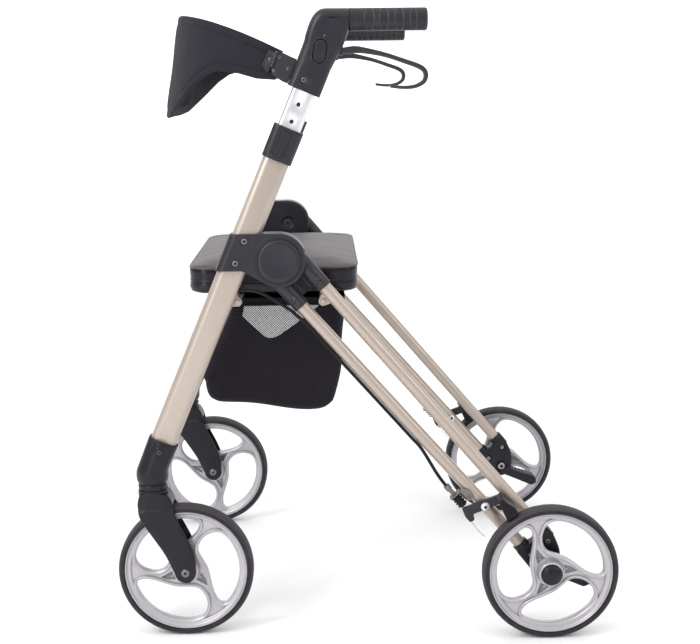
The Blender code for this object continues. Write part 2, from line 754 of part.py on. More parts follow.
def make_housing():
    """Moulded elbow with the grip's core, tube bore, button pocket and lever slot."""
    half = HOUSING_DEPTH / 2
    body = rounded(plate(housing_outline(), -half, half), HOUSING_ROUND, 2, 50)
    core_start = mast_frame_vector(GRIP_START - 0.006, GRIP_Z)
    core_end = mast_frame_vector(GRIP_START + GRIP_CORE_LENGTH, GRIP_Z)
    body = joined(body, cylinder(GRIP_CORE_RADIUS, core_start, core_end, 20))
    bore = rounded_rectangle(SLIDER_LENGTH + 2 * GAP, SLIDER_DEPTH + 2 * GAP, SLIDER_CORNER + GAP)
    pocket = plate(stadium(OVAL_LENGTH, OVAL_WIDTH), -HOUSING_DEPTH, OVAL_POCKET_DEPTH - half)
    pivot = lever_pivot()
    reach = LEVER_SLOT_DEPTH
    slot = plate([(pivot[0] - 0.008, pivot[1] - 0.010), (pivot[0] + reach, pivot[1] - 0.024),
                  (pivot[0] + reach, pivot[1] + 0.012), (pivot[0] - 0.008, pivot[1] + 0.009)],
                 -LEVER_WIDTH / 2 - SLIDE_GAP, LEVER_WIDTH / 2 + SLIDE_GAP)
    return cut(body, column(bore, HOUSING_START - 0.01, HOUSING_START + SLIDER_IN_HOUSING + GAP),
               moved(pocket, (0, 0, HOUSING_START + OVAL_ABOVE), OVAL_TURN), slot)


def mast_frame_vector(x, z):
    local = mast_point(x, z)
    return (local[0], 0, local[1])


def lever_pivot():
    """Lever pivot in the frame of the mast."""
    return mast_point(GRIP_START - LEVER_PIVOT_BEHIND, GRIP_Z - LEVER_PIVOT_BELOW)


def make_oval_button():
    outline = stadium(OVAL_LENGTH - 2 * GAP, OVAL_WIDTH - 2 * GAP)
    button = make_button(outline, HOUSING_DEPTH, OVAL_POCKET_DEPTH, BUTTON_TRAVEL + GAP)
    return moved(button, (0, 0, HOUSING_START + OVAL_ABOVE), OVAL_TURN)


def make_grip():
    """Rubber sleeve on the housing's core, closed and rounded at its rear end."""
    bore = GRIP_CORE_RADIUS + GAP
    top = GRIP_RADIUS
    end = GRIP_LENGTH
    profile = [(bore, GAP), (top - 0.0006, GAP), (top, 0.001), (top, end - 0.004),
               (top - 0.001, end - 0.0012), (top - 0.004, end), (0, end),
               (0, GRIP_CORE_LENGTH + GAP), (bore, GRIP_CORE_LENGTH + GAP)]
    return lathe(profile, axis="X", segments=20)


LEVER_LINE = [(0.010, 0.0005, 0.0100), (0.022, 0.0015, 0.0098), (0.038, -0.0005, 0.0080),
              (0.064, -0.0063, 0.0064), (0.090, -0.0150, 0.0064), (0.108, -0.0215, 0.0068),
              (0.1165, -0.0272, 0.0068), (0.1190, -0.0350, 0.0066), (0.1155, -0.0433, 0.0058),
              (0.1040, -0.0492, 0.0048), (0.0880, -0.0506, 0.0042), (0.0700, -0.0488, 0.0030)]


def make_lever():
    """Bent strip with a pivot eye: the centre line's points carry the strip's thickness."""
    left = []
    right = []
    line = LEVER_LINE
    for i, (x, z, thick) in enumerate(line):
        before = line[max(i - 1, 0)]
        after = line[min(i + 1, len(line) - 1)]
        dx = after[0] - before[0]
        dz = after[1] - before[1]
        size = hypot(dx, dz)
        left.append((x - dz / size * thick / 2, z + dx / size * thick / 2))
        right.append((x + dz / size * thick / 2, z - dx / size * thick / 2))
    eye = arc(0, 0, LEVER_EYE, 320, 40, 7)
    outline = left + right[::-1] + eye
    strip = plate(outline, -LEVER_WIDTH / 2, LEVER_WIDTH / 2)
    return rounded(strip, 0.0012, 1, 60)


# Hub: bracket, cap and the casting that carries the rear leg

def bracket_outline():
    """Clamp round the front tube that flows into the disc over the hub."""
    axis_x = -HUB_BEHIND_MAST / cos(MAST_LEAN)
    edge = BRACKET_HALF_WIDTH / cos(MAST_LEAN)
    lean = tan(MAST_LEAN)
    top = BRACKET_DISC
    bottom = -BRACKET_BOTTOM
    disc = arc(0, 0, BRACKET_DISC, 90, -130, 13)
    curve = bezier(disc[-1], (disc[-1][0] - 0.008, disc[-1][1] + 0.0065),
                   (-0.032, bottom), (-0.047, bottom), 5)
    return [(axis_x + top * lean - edge, top), *disc, *curve[1:], (axis_x + bottom * lean - edge, bottom)]


def make_bracket():
    """Two plates joined by the sleeve round the front tube; the leg turns between them."""
    outer = CLEVIS_HALF + BRACKET_PLATE
    body = rounded(plate(bracket_outline(), -outer, outer), BRACKET_ROUND, 1, 50)
    sleeve = rounded_rectangle(MAST_LENGTH + 2 * GAP, MAST_DEPTH + 2 * GAP, MAST_CORNER + GAP)
    to_mast = (-HUB_BEHIND_MAST * cos(MAST_LEAN), 0, HUB_BEHIND_MAST * sin(MAST_LEAN))
    tube = moved(column(sleeve, -0.12, 0.12), to_mast, MAST_LEAN)
    slot_start = BRACKET_HALF_WIDTH + GAP
    slot = box((slot_start, -CLEVIS_HALF, -0.15), (0.25, CLEVIS_HALF, 0.15))
    slot = moved(slot, to_mast, MAST_LEAN)
    pin = cylinder(PIN_RADIUS + GAP, (0, -0.05, 0), (0, 0.05, 0), 16)
    return cut(body, tube, slot, pin)


def make_hinge_cap():
    """Round cover and the hinge pin behind it, with the pin's head on the inner side."""
    face = CLEVIS_HALF + BRACKET_PLATE + GAP
    top = face + CAP_HEIGHT
    profile = [(0, top), (CAP_RADIUS - 0.0015, top), (CAP_RADIUS, top - 0.0015), (CAP_RADIUS, face),
               (PIN_RADIUS, face), (PIN_RADIUS, -face), (PIN_HEAD_RADIUS, -face),
               (PIN_HEAD_RADIUS, -face - 0.003), (0, -face - 0.003)]
    return lathe([(r, -h) for r, h in profile], segments=24)


def leg_tube_end(start, end, along):
    return (along, 0, leg_tube_height(start, end, along))


def make_leg_socket():
    """Casting with a hub disc, two tube sockets and a thin web between them."""
    low = LOWER_TUBE_FROM
    high = UPPER_TUBE_FROM
    disc = arc(0, 0, SOCKET_DISC, 100, 262, 12)
    outline = disc + [(SOCKET_START, low - SOCKET_RADIUS + 0.0002),
                      (SOCKET_START + 0.014, low), (SOCKET_START + 0.020, 0.002),
                      (SOCKET_START + 0.014, high), (SOCKET_START, high + SOCKET_RADIUS - 0.0002)]
    body = plate(outline, -SOCKET_RADIUS, SOCKET_RADIUS)
    web = plate([(SOCKET_START, low), (SOCKET_WEB_END, low), (SOCKET_WEB_END, high),
                 (SOCKET_START, high)], -SOCKET_WEB_HALF, SOCKET_WEB_HALF)
    barrels = []
    bores = []
    for start, end in ((LOWER_TUBE_FROM, LOWER_TUBE_TO), (UPPER_TUBE_FROM, UPPER_TUBE_TO)):
        barrels.append(cylinder(SOCKET_RADIUS - 0.0001, leg_tube_end(start, end, SOCKET_START + 0.001),
                                leg_tube_end(start, end, SOCKET_END), 16))
        bores.append(cylinder(LEG_TUBE_RADIUS + GAP, leg_tube_end(start, end, LEG_TUBE_START - GAP),
                              leg_tube_end(start, end, SOCKET_END + 0.01), 16))
    pin = cylinder(PIN_RADIUS + GAP, (0, -0.05, 0), (0, 0.05, 0), 16)
    return cut(joined(body, web, *barrels), *bores, pin)


def make_leg_tube(start, end):
    """Round hollow tube from the hub casting to the axle bracket."""
    first = Vector(leg_tube_end(start, end, LEG_TUBE_START))
    last = Vector(leg_tube_end(start, end, LEG_LENGTH - FOOT_BORE))
    outer = arc(0, 0, LEG_TUBE_RADIUS, 0, 360, 16)[:-1]
    bore = arc(0, 0, LEG_TUBE_RADIUS - LEG_TUBE_WALL, 0, 360, 16)[:-1]
    tube = column(outer, 0, (last - first).length, bore)
    turn = atan2(last.x - first.x, last.z - first.z)
    return moved(tube, first, turn)


def make_lower_tube():
    """Lower rear tube with the bore of the brake's pivot bolt."""
    tube = make_leg_tube(LOWER_TUBE_FROM, LOWER_TUBE_TO)
    pivot = brake_pivot()
    return cut(tube, cylinder(BRAKE_PIVOT_RADIUS + GAP, (pivot[0], -0.05, pivot[1]),
                              (pivot[0], 0.05, pivot[1]), 12))


def make_upper_tube():
    """Upper rear tube with the lug of the rear cross bar."""
    tube = make_leg_tube(UPPER_TUBE_FROM, UPPER_TUBE_TO)
    wall = leg_tube_height(UPPER_TUBE_FROM, UPPER_TUBE_TO, REAR_LUG_ALONG) - LEG_TUBE_RADIUS / 2
    tab = arc(REAR_LUG_ALONG, REAR_LUG_ABOVE, LUG_RADIUS, 190, 350, 8)
    tab += [(REAR_LUG_ALONG + 1.8 * LUG_RADIUS, wall), (REAR_LUG_ALONG - 1.8 * LUG_RADIUS, wall)]
    lug = plate(tab, REAR_LUG_SIDE, REAR_LUG_SIDE + LUG_THICKNESS)
    lug = cut(lug, cylinder(BAR_SPIGOT + GAP, (REAR_LUG_ALONG, 0, REAR_LUG_ABOVE),
                            (REAR_LUG_ALONG, 0.05, REAR_LUG_ABOVE), 10))
    return joined(tube, lug)


# Axle bracket with its kerb pedal

def make_axle_bracket():
    """Foot casting: two tube sockets, the axle boss and the pedal behind the wheel's axle."""
    low = leg_tube_height(LOWER_TUBE_FROM, LOWER_TUBE_TO, LEG_LENGTH - FOOT_SOCKET)
    high = leg_tube_height(UPPER_TUBE_FROM, UPPER_TUBE_TO, LEG_LENGTH - FOOT_SOCKET)
    edge = SOCKET_RADIUS
    end = -FOOT_SOCKET
    outline = [(end, low + edge), (end, low - edge), (end + 0.015, low - edge - 0.0015),
               (-0.006, -0.0228), (0.008, -0.0185),
               (0.0165, -0.009), (0.0175, 0.004), (0.010, 0.016), (-0.003, 0.0275),
               (-0.018, 0.0335), (-0.033, high + edge), (end, high + edge), (end, high - edge),
               (end + 0.004, (low + high) / 2)]
    half = FOOT_DEPTH / 2
    body = rounded(plate(outline, -half, half), FOOT_ROUND, 1, 50)
    pedal = plate([(0.008, -0.010), (0.035, 0.004), (0.064, 0.0185), *arc(0.0600, 0.0248, 0.0062, -40, 90, 4),
                   (0.050, 0.0290), (0.030, 0.0165), (0.012, 0.0060)], -PEDAL_OUT, PEDAL_IN)
    pedal = rounded(pedal, 0.0015, 1, 50)
    boss_end = HUB_WIDTH / 2 - REAR_WHEEL_OFFSET + GAP
    boss = cylinder(0.0125, (0, 0, 0), (0, boss_end, 0), 16)
    body = joined(body, pedal, boss)
    axle = cylinder(REAR_AXLE_RADIUS + GAP, (0, -0.06, 0), (0, 0.06, 0), 16)
    bores = []
    for start, finish in ((LOWER_TUBE_FROM, LOWER_TUBE_TO), (UPPER_TUBE_FROM, UPPER_TUBE_TO)):
        bottom = leg_tube_end(start, finish, LEG_LENGTH - FOOT_BORE + GAP)
        mouth = leg_tube_end(start, finish, LEG_LENGTH - FOOT_SOCKET - 0.02)
        shift = Vector((-LEG_LENGTH, 0, 0))
        bores.append(cylinder(LEG_TUBE_RADIUS + GAP, Vector(bottom) + shift, Vector(mouth) + shift, 16))
    body = cut(body, axle, *bores)
    return moved(body, (LEG_LENGTH, 0, 0))


# Brake: arm with shoe and pivot bolt, spring boot, cable stop and cable

def brake_pivot():
    """Pivot on the lower rear tube, its distance measured from the tyre's tread."""
    reach = WHEEL_RADIUS + BRAKE_GAP + BRAKE_FROM_TYRE
    height = leg_tube_height(LOWER_TUBE_FROM, LOWER_TUBE_TO, LEG_LENGTH - reach) + BRAKE_ABOVE_TUBE
    return (LEG_LENGTH - (reach ** 2 - height ** 2) ** 0.5, height)


def stop_along_leg():
    return brake_pivot()[0] - STOP_BEFORE_BRAKE


def wheel_from_brake():
    """Wheel centre in the frame of the brake arm."""
    pivot = brake_pivot()
    dx = LEG_LENGTH - pivot[0]
    dz = -pivot[1]
    turn = BRAKE_ARM_TURN
    return (dx * cos(turn) + dz * sin(turn), dz * cos(turn) - dx * sin(turn))


def make_brake_arm():
    """Flat arm across the tube, a shoe over the tyre and the bolt it turns on."""
    inner = -LEG_TUBE_RADIUS - GAP
    outer = inner - BRAKE_ARM_THICK
    bar = plate([(-0.0330, -0.0040), (-0.0330, 0.0095), (0.0240, 0.0090), (0.0260, -0.0040),
                 (-0.0230, -0.0045), (-0.0235, -0.0155), (-0.0300, -0.0155)], outer, inner)
    centre = wheel_from_brake()
    radius = WHEEL_RADIUS + BRAKE_GAP
    rub = []
    for i in range(6):
        x = 0.0405 - i * 0.0037
        rub.append((x, centre[1] + (radius ** 2 - (x - centre[0]) ** 2) ** 0.5))
    shoe = plate([(0.0200, 0.0090), (0.0285, 0.0110), (0.0330, 0.0020), (0.0400, -0.0080), *rub],
                 -BRAKE_SHOE_OUT, inner - 0.001)
    bolt = lathe([(0, inner - 0.001), (BRAKE_PIVOT_RADIUS, inner - 0.001),
                  (BRAKE_PIVOT_RADIUS, LEG_TUBE_RADIUS + GAP), (0.006, LEG_TUBE_RADIUS + GAP),
                  (0.006, LEG_TUBE_RADIUS + 0.004), (0, LEG_TUBE_RADIUS + 0.004)], segments=12)
    head = cylinder(0.006, (0, inner - 0.001, 0), (0, outer - 0.0035, 0), 16)
    return joined(bar, shoe, bolt, head)


def boot_place():
    """Axis height of the spring boot and cable stop in the frame of the leg."""
    return leg_tube_height(LOWER_TUBE_FROM, LOWER_TUBE_TO, stop_along_leg()) - STOP_BELOW_LEG


def make_spring_boot():
    """Ribbed rubber boot over the return spring."""
    pitch = BOOT_LENGTH / BOOT_RIBS
    profile = [(0.0022, 0)]
    for i in range(BOOT_RIBS):
        profile += [(BOOT_RADIUS - 0.0016, i * pitch), (BOOT_RADIUS, (i + 0.5) * pitch)]
    profile += [(BOOT_RADIUS - 0.0016, BOOT_LENGTH), (0.0022, BOOT_LENGTH)]
    boot = lathe(profile, axis="X", segments=12)
    return moved(boot, (stop_along_leg() + FLANGE_THICKNESS + GAP, CABLE_SIDE, boot_place()))


def make_cable_stop():
    """Bent strap riveted to the lower tube, with the barrel adjuster of the cable."""
    height = boot_place()
    along = stop_along_leg()
    outer = -LEG_TUBE_RADIUS - GAP
    tube = leg_tube_height(LOWER_TUBE_FROM, LOWER_TUBE_TO, along)
    half = FLANGE_WIDTH / 2
    flange = box((along, CABLE_SIDE - half, height - half),
                 (along + FLANGE_THICKNESS, CABLE_SIDE + half, height + half + 0.0025))
    outline = [(0.0005, height + 0.0088), (0.010, tube - 0.012), (0.022, tube - 0.012), (0.024, tube - 0.002),
               (0.010, tube + 0.001), (0.0005, tube - 0.006)]
    strap = plate([(along + x, z) for x, z in outline], outer - FLANGE_THICKNESS, outer)
    end = ADJUSTER_LENGTH + 0.001
    throat = CABLE_RADIUS - 0.001
    barrel = lathe([(CABLE_RADIUS + GAP, -0.004), (0.0044, -0.004), (0.0046, 0.0035), (0.0036, 0.0045),
                    (0.0034, end), (throat, end), (throat, 0.004), (CABLE_RADIUS + GAP, 0.004)],
                   axis="X", segments=12)
    barrel = moved(barrel, (along - ADJUSTER_LENGTH + 0.0005, CABLE_SIDE, height))
    rivet = cylinder(0.0032, (along + 0.0165, outer, tube - 0.007),
                     (along + 0.0165, outer - 0.0032, tube - 0.007), 12)
    return joined(flange, strap, barrel, rivet)


def leg_to_world(along, side, above):
    """Leg frame to world for the left side."""
    return (HUB_X + along * cos(LEG_DIP) + above * sin(LEG_DIP), LEFT + side,
            HUB_Z - along * sin(LEG_DIP) + above * cos(LEG_DIP))


def mast_to_world(behind, side, along):
    """Mast frame to world for the left side."""
    return (STEM_X + along * sin(MAST_LEAN) + behind * cos(MAST_LEAN), LEFT + side,
            MAST_FOOT_Z + along * cos(MAST_LEAN) - behind * sin(MAST_LEAN))


def make_brake_cable():
    """Outer cable: down inside the tubes, out of the front tube and along the lower rear tube."""
    under = -LEG_TUBE_RADIUS - CABLE_RADIUS + 0.0003
    route = [mast_to_world(0.0, 0, SLIDER_START + 0.145), mast_to_world(0.0, 0, SLIDER_START),
             mast_to_world(0.001, 0, CABLE_EXIT + 0.045)]
    route += [mast_to_world(*cable_at_wall(distance)) for distance in (-0.012, 0.0, 0.010)]
    route += [(HUB_X - 0.036, LEFT - 0.003, HUB_Z - 0.0505), (HUB_X - 0.012, LEFT - 0.005, HUB_Z - 0.0625),
              (HUB_X + 0.010, LEFT - 0.005, HUB_Z - 0.0770)]
    for share in (0.0, 0.18, 0.45, 0.73, 1.0):
        along = CABLE_JOINS_LEG + share * (stop_along_leg() - CABLE_LEAVES_LEG - CABLE_JOINS_LEG)
        centre = leg_tube_height(LOWER_TUBE_FROM, LOWER_TUBE_TO, along)
        route.append(leg_to_world(along, -0.0045, centre + under))
    stop = boot_place()
    entry = stop_along_leg() - ADJUSTER_LENGTH
    route += [leg_to_world(entry - 0.0675, -0.0055, stop + 0.0082),
              leg_to_world(entry - 0.0275, -0.0095, stop + 0.0018),
              leg_to_world(entry - 0.008, CABLE_SIDE, stop), leg_to_world(entry + 0.0035, CABLE_SIDE, stop)]
    return wire(smooth_route(route, 0.024), CABLE_RADIUS, 1)


# Caster housing and fork

def make_caster_housing():
    """Elbow from the leaning front tube to the upright caster stem."""
    sleeve = rounded_rectangle(CASTER_SLEEVE_WIDTH, CASTER_SLEEVE_DEPTH, CASTER_SLEEVE_CORNER)
    turn = Matrix.Translation((0, 0, MAST_FOOT_Z)) @ Matrix.Rotation(MAST_LEAN, 4, "Y")
    points = [turn @ Vector((x, y, CASTER_TOP)) for x, y in sleeve]
    ring = arc(0, 0, CASTER_RADIUS, 0, 360, 20)[:-1]
    points += [Vector((x, y, z)) for z in (CASTER_BOTTOM_Z, CASTER_ELBOW_Z) for x, y in ring]
    body = rounded(hull(points), 0.0012, 1, 60)
    bore = rounded_rectangle(MAST_LENGTH + 2 * GAP, MAST_DEPTH + 2 * GAP, MAST_CORNER + GAP)
    tube = moved(column(bore, MAST_START - GAP, CASTER_TOP + 0.03), (0, 0, MAST_FOOT_Z), MAST_LEAN)
    stem = cylinder(STEM_RADIUS + GAP, (0, 0, CASTER_BOTTOM_Z - 0.01), (0, 0, STEM_TOP_Z + GAP), 16)
    return cut(body, tube, stem)


def fork_outline():
    """Side of the fork from its crown to the axle eye, measured from the stem's axis."""
    trail = STEM_TRAIL
    eye = arc(trail, AXLE_Z, FORK_EYE, -150, 20, 8)
    rise = WHEEL_RADIUS
    front = [(-0.0180, FORK_TOP_Z), (-0.0212, AXLE_Z + rise), (-0.0175, AXLE_Z + 0.81 * rise),
             (trail - 0.0478, AXLE_Z + 0.57 * rise), (trail - 0.0306, AXLE_Z + 0.30 * rise),
             (trail - 0.0178, AXLE_Z + 0.04 * rise)]
    back = [(trail + 0.0145, AXLE_Z + 0.22 * rise), (trail + 0.0063, AXLE_Z + 0.46 * rise),
            (trail - 0.0085, AXLE_Z + 0.77 * rise), (0.0306, AXLE_Z + 0.99 * rise), (0.0225, FORK_TOP_Z)]
    return front + eye + back


def make_fork():
    """Two-legged fork with its crown, rings and stem in one moulding."""
    body = rounded(plate(fork_outline(), -FORK_HALF_WIDTH, FORK_HALF_WIDTH), FORK_ROUND, 1, 50)
    inside = FORK_HALF_WIDTH - FORK_LEG
    wheel = cylinder(WHEEL_RADIUS + 0.005, (STEM_TRAIL, -inside, AXLE_Z), (STEM_TRAIL, inside, AXLE_Z), 28)
    axle = cylinder(FRONT_AXLE_RADIUS + GAP, (STEM_TRAIL, -0.05, AXLE_Z), (STEM_TRAIL, 0.05, AXLE_Z), 16)
    body = cut(body, wheel, axle)
    low = FORK_TOP_Z - 0.003
    top = CASTER_BOTTOM_Z - GAP
    groove = (FORK_TOP_Z + top) / 2
    stem = lathe([(0, low), (0.0180, low), (0.0210, FORK_TOP_Z + 0.002), (0.0210, groove - 0.001),
                  (0.0190, groove), (0.0210, groove + 0.001), (0.0210, top),
                  (STEM_RADIUS, top), (STEM_RADIUS, STEM_TOP_Z), (0, STEM_TOP_Z)], axis="Z", segments=16)
    return joined(body, stem)


# Cross bars, seat, bag and back strap

def make_cross_bar(face):
    """Round bar whose ends pass through lugs that stand between the two faces."""
    reach = face + LUG_THICKNESS + GAP
    half = [(BAR_RADIUS, face - GAP), (BAR_SPIGOT, face - GAP), (BAR_SPIGOT, reach),
            (BAR_HEAD, reach), (BAR_HEAD, reach + 0.002), (0, reach + 0.002)]
    return lathe(half + [(r, -h) for r, h in half[::-1]], segments=16)


def seat_ring(inset, height, share=1.0):
    """Level ring of the cushion: its plan drawn in by an inset, or shrunk to a share of it."""
    outline = rounded_rectangle(SEAT_LENGTH - 2 * inset, 2 * (SEAT_HALF_WIDTH - inset), SEAT_CORNER - inset)
    points = []
    for i, (x, y) in enumerate(outline):
        end_x, end_y = outline[(i + 1) % len(outline)]
        length = hypot(end_x - x, end_y - y)
        parts = 6 if length > SEAT_HALF_WIDTH else 4 if length > SEAT_LENGTH / 2 else 1
        points += [(x + (end_x - x) * k / parts, y + (end_y - y) * k / parts) for k in range(parts)]
    return [(x * share, y * share, height) for x, y in points]


def make_cushion():
    """Crowned box cushion over the board: round foot, sides drawn in between the seams."""
    top = SEAT_THICKNESS
    waist = SEAT_DRAWN_IN
    recess = BOARD_INSET - GAP
    rings = [seat_ring(recess, BOARD_THICKNESS), seat_ring(recess, 0),
             seat_ring(0.010, 0), seat_ring(0.003, 0.0026), seat_ring(0, 0.009),
             seat_ring(waist, 0.018), seat_ring(waist * 0.6, 0.025), seat_ring(0, top - 0.003),
             seat_ring(0.003, top)]
    for share in (0.90, 0.72, 0.46, 0.20):
        rings.append(seat_ring(0.003, top + SEAT_CROWN * (1 - share ** 2.4), share))
    data = bmesh.new()
    layers = [[data.verts.new(point) for point in ring] for ring in rings]
    count = len(layers[0])
    for low, high in zip(layers, layers[1:]):
        for i in range(count):
            j = (i + 1) % count
            data.faces.new((low[i], low[j], high[j], high[i]))
    data.faces.new(layers[0][::-1])
    peak = data.verts.new((0, 0, top + SEAT_CROWN))
    for i in range(count):
        data.faces.new((layers[-1][i], layers[-1][(i + 1) % count], peak))
    cushion = from_bmesh("cushion", data)
    return moved(cushion, (SEAT_LENGTH / 2 - SEAT_FRONT, 0, BAR_RADIUS + 3 * GAP))


def make_board():
    """Seat board with two clips round the front cross bar, its hinge."""
    low = BAR_RADIUS + 2 * GAP
    outline = rounded_rectangle(SEAT_LENGTH - 2 * BOARD_INSET, 2 * (SEAT_HALF_WIDTH - BOARD_INSET), 0.02)
    board = column(outline, low, low + BOARD_THICKNESS)
    board = moved(board, (SEAT_LENGTH / 2 - SEAT_FRONT, 0, 0))
    clips = []
    holes = []
    for side in (-1, 1):
        y = side * CLIP_SPACING / 2
        clips.append(cylinder(BAR_RADIUS + GAP + CLIP_WALL, (0, y - CLIP_WIDTH / 2, 0),
                              (0, y + CLIP_WIDTH / 2, 0), 20))
        holes.append(cylinder(BAR_RADIUS + GAP, (0, y - CLIP_WIDTH, 0), (0, y + CLIP_WIDTH, 0), 16))
    return cut(joined(board, *clips), *holes)


def bag_outline():
    """Side of the bag: front parallel to the front tubes, sagging rounded bottom."""
    top = min(BAR_FRONT_Z, BAR_REAR_Z) - BAR_RADIUS - GAP
    low = top - BAG_DROP
    front = BAR_FRONT_X - BAR_RADIUS
    lip = front - BAG_FRONT_REACH
    back = BAR_REAR_X + BAG_BACK_REACH
    return [(front, top), (lip, low + 0.063), (lip, low + 0.043), (lip + 0.0050, low + 0.0245),
            (lip + 0.0135, low + 0.0150), (lip + 0.0345, low + 0.0085), (lip + 0.110, low + 0.0025),
            (back - 0.046, low - 0.0015),
            (back - 0.025, low + 0.0045), (back - 0.0153, low + 0.021), (back - 0.005, low + 0.090),
            (back, top)]


def shrunk(outline, amount):
    """Outline moved inwards, for the inside of a wall; the open top is carried up."""
    centre = Vector((sum(p[0] for p in outline) / len(outline), sum(p[1] for p in outline) / len(outline)))
    result = []
    for i, point in enumerate(outline):
        before = Vector(outline[i - 1])
        after = Vector(outline[(i + 1) % len(outline)])
        side = (after - before).normalized()
        normal = Vector((-side.y, side.x))
        if normal.dot(centre - Vector(point)) < 0:
            normal = -normal
        result.append(tuple(Vector(point) + normal * amount))
    return result


def make_bag():
    """Open-topped bag hung from the two cross bars."""
    outline = bag_outline()
    body = rounded(plate(outline, -BAG_HALF_WIDTH, BAG_HALF_WIDTH), 0.012, 2, 75)
    inner = shrunk(outline, BAG_WALL)
    top = outline[0][1] + 0.01
    inner[0] = (outline[0][0] + BAG_WALL, top)
    inner[-1] = (outline[-1][0] - BAG_WALL, top)
    hollow = plate(inner, BAG_WALL - BAG_HALF_WIDTH, BAG_HALF_WIDTH - BAG_WALL)
    return cut(body, hollow)


def on_line(table, value):
    """Straight-line reading between the (place, height) pairs of a table."""
    for (x0, y0), (x1, y1) in zip(table, table[1:]):
        if value <= x1:
            return y0 + (y1 - y0) * (value - x0) / (x1 - x0)
    return table[-1][1]


def strap_point(across, up):
    """Point of the strap: across from -1 to 1, up from 0 to 1, on a superellipse plan."""
    end = mast_to_world(-STRAP_END_AHEAD, 0, HOUSING_START + STRAP_END_ABOVE)
    angle = abs(across) * pi / 2
    power = 2 / STRAP_CURVE
    y = STRAP_HALF_WIDTH * sin(angle) ** power * (1 if across > 0 else -1)
    share = max(cos(angle), 0.0) ** power
    top_z = STRAP_TOP_RISE * (1 - (1 - share) ** STRAP_TOP_CURVE)
    low_z = on_line(STRAP_LOW_EDGE, share)
    depth = STRAP_DEPTH + STRAP_LEAN * (1 - up)
    return (end[0] - depth * share - 0.011 * (1 - up) * (1 - share), y, end[2] + low_z + (top_z - low_z) * up)


def make_strap():
    """Curved back strap, tall at its middle and narrow at its ends."""
    data = bmesh.new()
    bmesh.ops.create_grid(data, x_segments=28, y_segments=3, size=1)
    for vert in data.verts:
        vert.co = strap_point(vert.co.x, (vert.co.y + 1) / 2)
    obj = from_bmesh("strap", data)
    wall = obj.modifiers.new("wall", "SOLIDIFY")
    wall.thickness = STRAP_THICKNESS
    wall.offset = 0
    return bake(obj)


def make_strap_hinge():
    """Two hinge plates with a barrel between the strap's end and the handle housing."""
    inner = HINGE_SIDE + HINGE_THICKNESS
    low = HOUSING_START + HINGE_BOTTOM
    high = HOUSING_START + HINGE_TOP
    edge = -HOUSING_HALF_WIDTH - GAP
    lean = HOUSING_SWELL * (HINGE_TOP / HOUSING_SWELL_HEIGHT)
    strap_side = plate([(-HINGE_END, high - 0.003), (-HINGE_END, low + 0.0105),
                        (0.011 - HINGE_END, low + 0.003), (-HINGE_SPLIT, low + 0.008),
                        (-HINGE_SPLIT, high - 0.003)], HINGE_SIDE, inner)
    fixed_side = plate([(-HINGE_SPLIT, high), (-HINGE_SPLIT, low + 0.010), (0.004 - HINGE_SPLIT, low + 0.004),
                        (0.020 - HINGE_SPLIT, low), (edge - lean * HINGE_BOTTOM / HINGE_TOP, low),
                        (edge - lean, high)], HINGE_SIDE, inner)
    barrel = cylinder(HINGE_BARREL, (-HINGE_SPLIT, inner - HINGE_BARREL, low + 0.012),
                      (-HINGE_SPLIT, inner - HINGE_BARREL, high), 12)
    return joined(strap_side, fixed_side, barrel)


# Build the left side

def build_left():
    left = [
        (make_front_tube, "front_tube", "champagne", mast_frame),
        (make_handle_tube, "handle_tube", "silver", mast_frame),
        (make_collar, "height_collar", "black_plastic", mast_frame),
        (make_collar_button, "height_button", "black_plastic", mast_frame),
        (make_housing, "handle_housing", "black_plastic", mast_frame),
        (make_oval_button, "housing_button", "black_plastic", mast_frame),
        (make_strap_hinge, "backrest_hinge", "black_steel", mast_frame),
        (make_bracket, "hinge_bracket", "black_plastic", hub_frame),
        (make_hinge_cap, "hinge_cap", "black_plastic", hub_frame),
        (make_leg_socket, "leg_socket", "black_plastic", leg_frame),
        (make_upper_tube, "rear_upper_tube", "champagne", leg_frame),
        (make_lower_tube, "rear_lower_tube", "champagne", leg_frame),
        (make_axle_bracket, "axle_bracket", "black_plastic", leg_frame),
        (make_spring_boot, "spring_boot", "rubber", leg_frame),
        (make_cable_stop, "cable_stop", "steel", leg_frame),
        (make_brake_cable, "brake_cable", "rubber", None),
        (make_caster_housing, "caster_housing", "black_plastic", stem_frame),
        (make_fork, "caster_fork", "black_plastic", stem_frame),
        (make_front_axle, "front_axle", "steel", front_axle_frame),
        (make_tyre, "front_tyre", "tyre", front_axle_frame),
        (make_rear_axle, "rear_axle", "black_plastic", rear_axle_frame),
        (make_tyre, "rear_tyre", "tyre", rear_axle_frame),
    ]
    return [named(make(), name + "_left", material, parent) for make, name, material, parent in left]


def mirrored(obj, name, turn=None):
    """Right-hand copy: the mesh and its place reflected in the plane y = 0."""
    bpy.context.view_layer.update()
    mesh = obj.data.copy()
    mesh.transform(Matrix.Diagonal((1, -1, 1, 1)))
    mesh.flip_normals()
    copy = bpy.data.objects.new(name, mesh)
    mesh.name = name
    PARTS.objects.link(copy)
    place, rotation, _ = obj.matrix_world.decompose()
    copy.location = (place.x, -place.y, place.z)
    copy.rotation_euler = rotation.to_euler()
    if turn is not None:
        copy.rotation_euler = (0, turn, 0)
    return copy


def build_wheels():
    """Rims at the turn that each wheel stands at."""
    made = []
    for end, bore, carrier, phase in (
            ("front", FRONT_AXLE_RADIUS + GAP, front_axle_frame, (FRONT_PHASE_LEFT, FRONT_PHASE_RIGHT)),
            ("rear", REAR_AXLE_RADIUS + GAP, rear_axle_frame, (REAR_PHASE_LEFT, REAR_PHASE_RIGHT))):
        rim = named(make_rim(bore), end + "_rim_left", "rim_plastic", carrier)
        rim.rotation_euler = (0, -phase[0], 0)
        mirrored(rim, end + "_rim_right", -phase[1])
        made.append(rim)
    return made


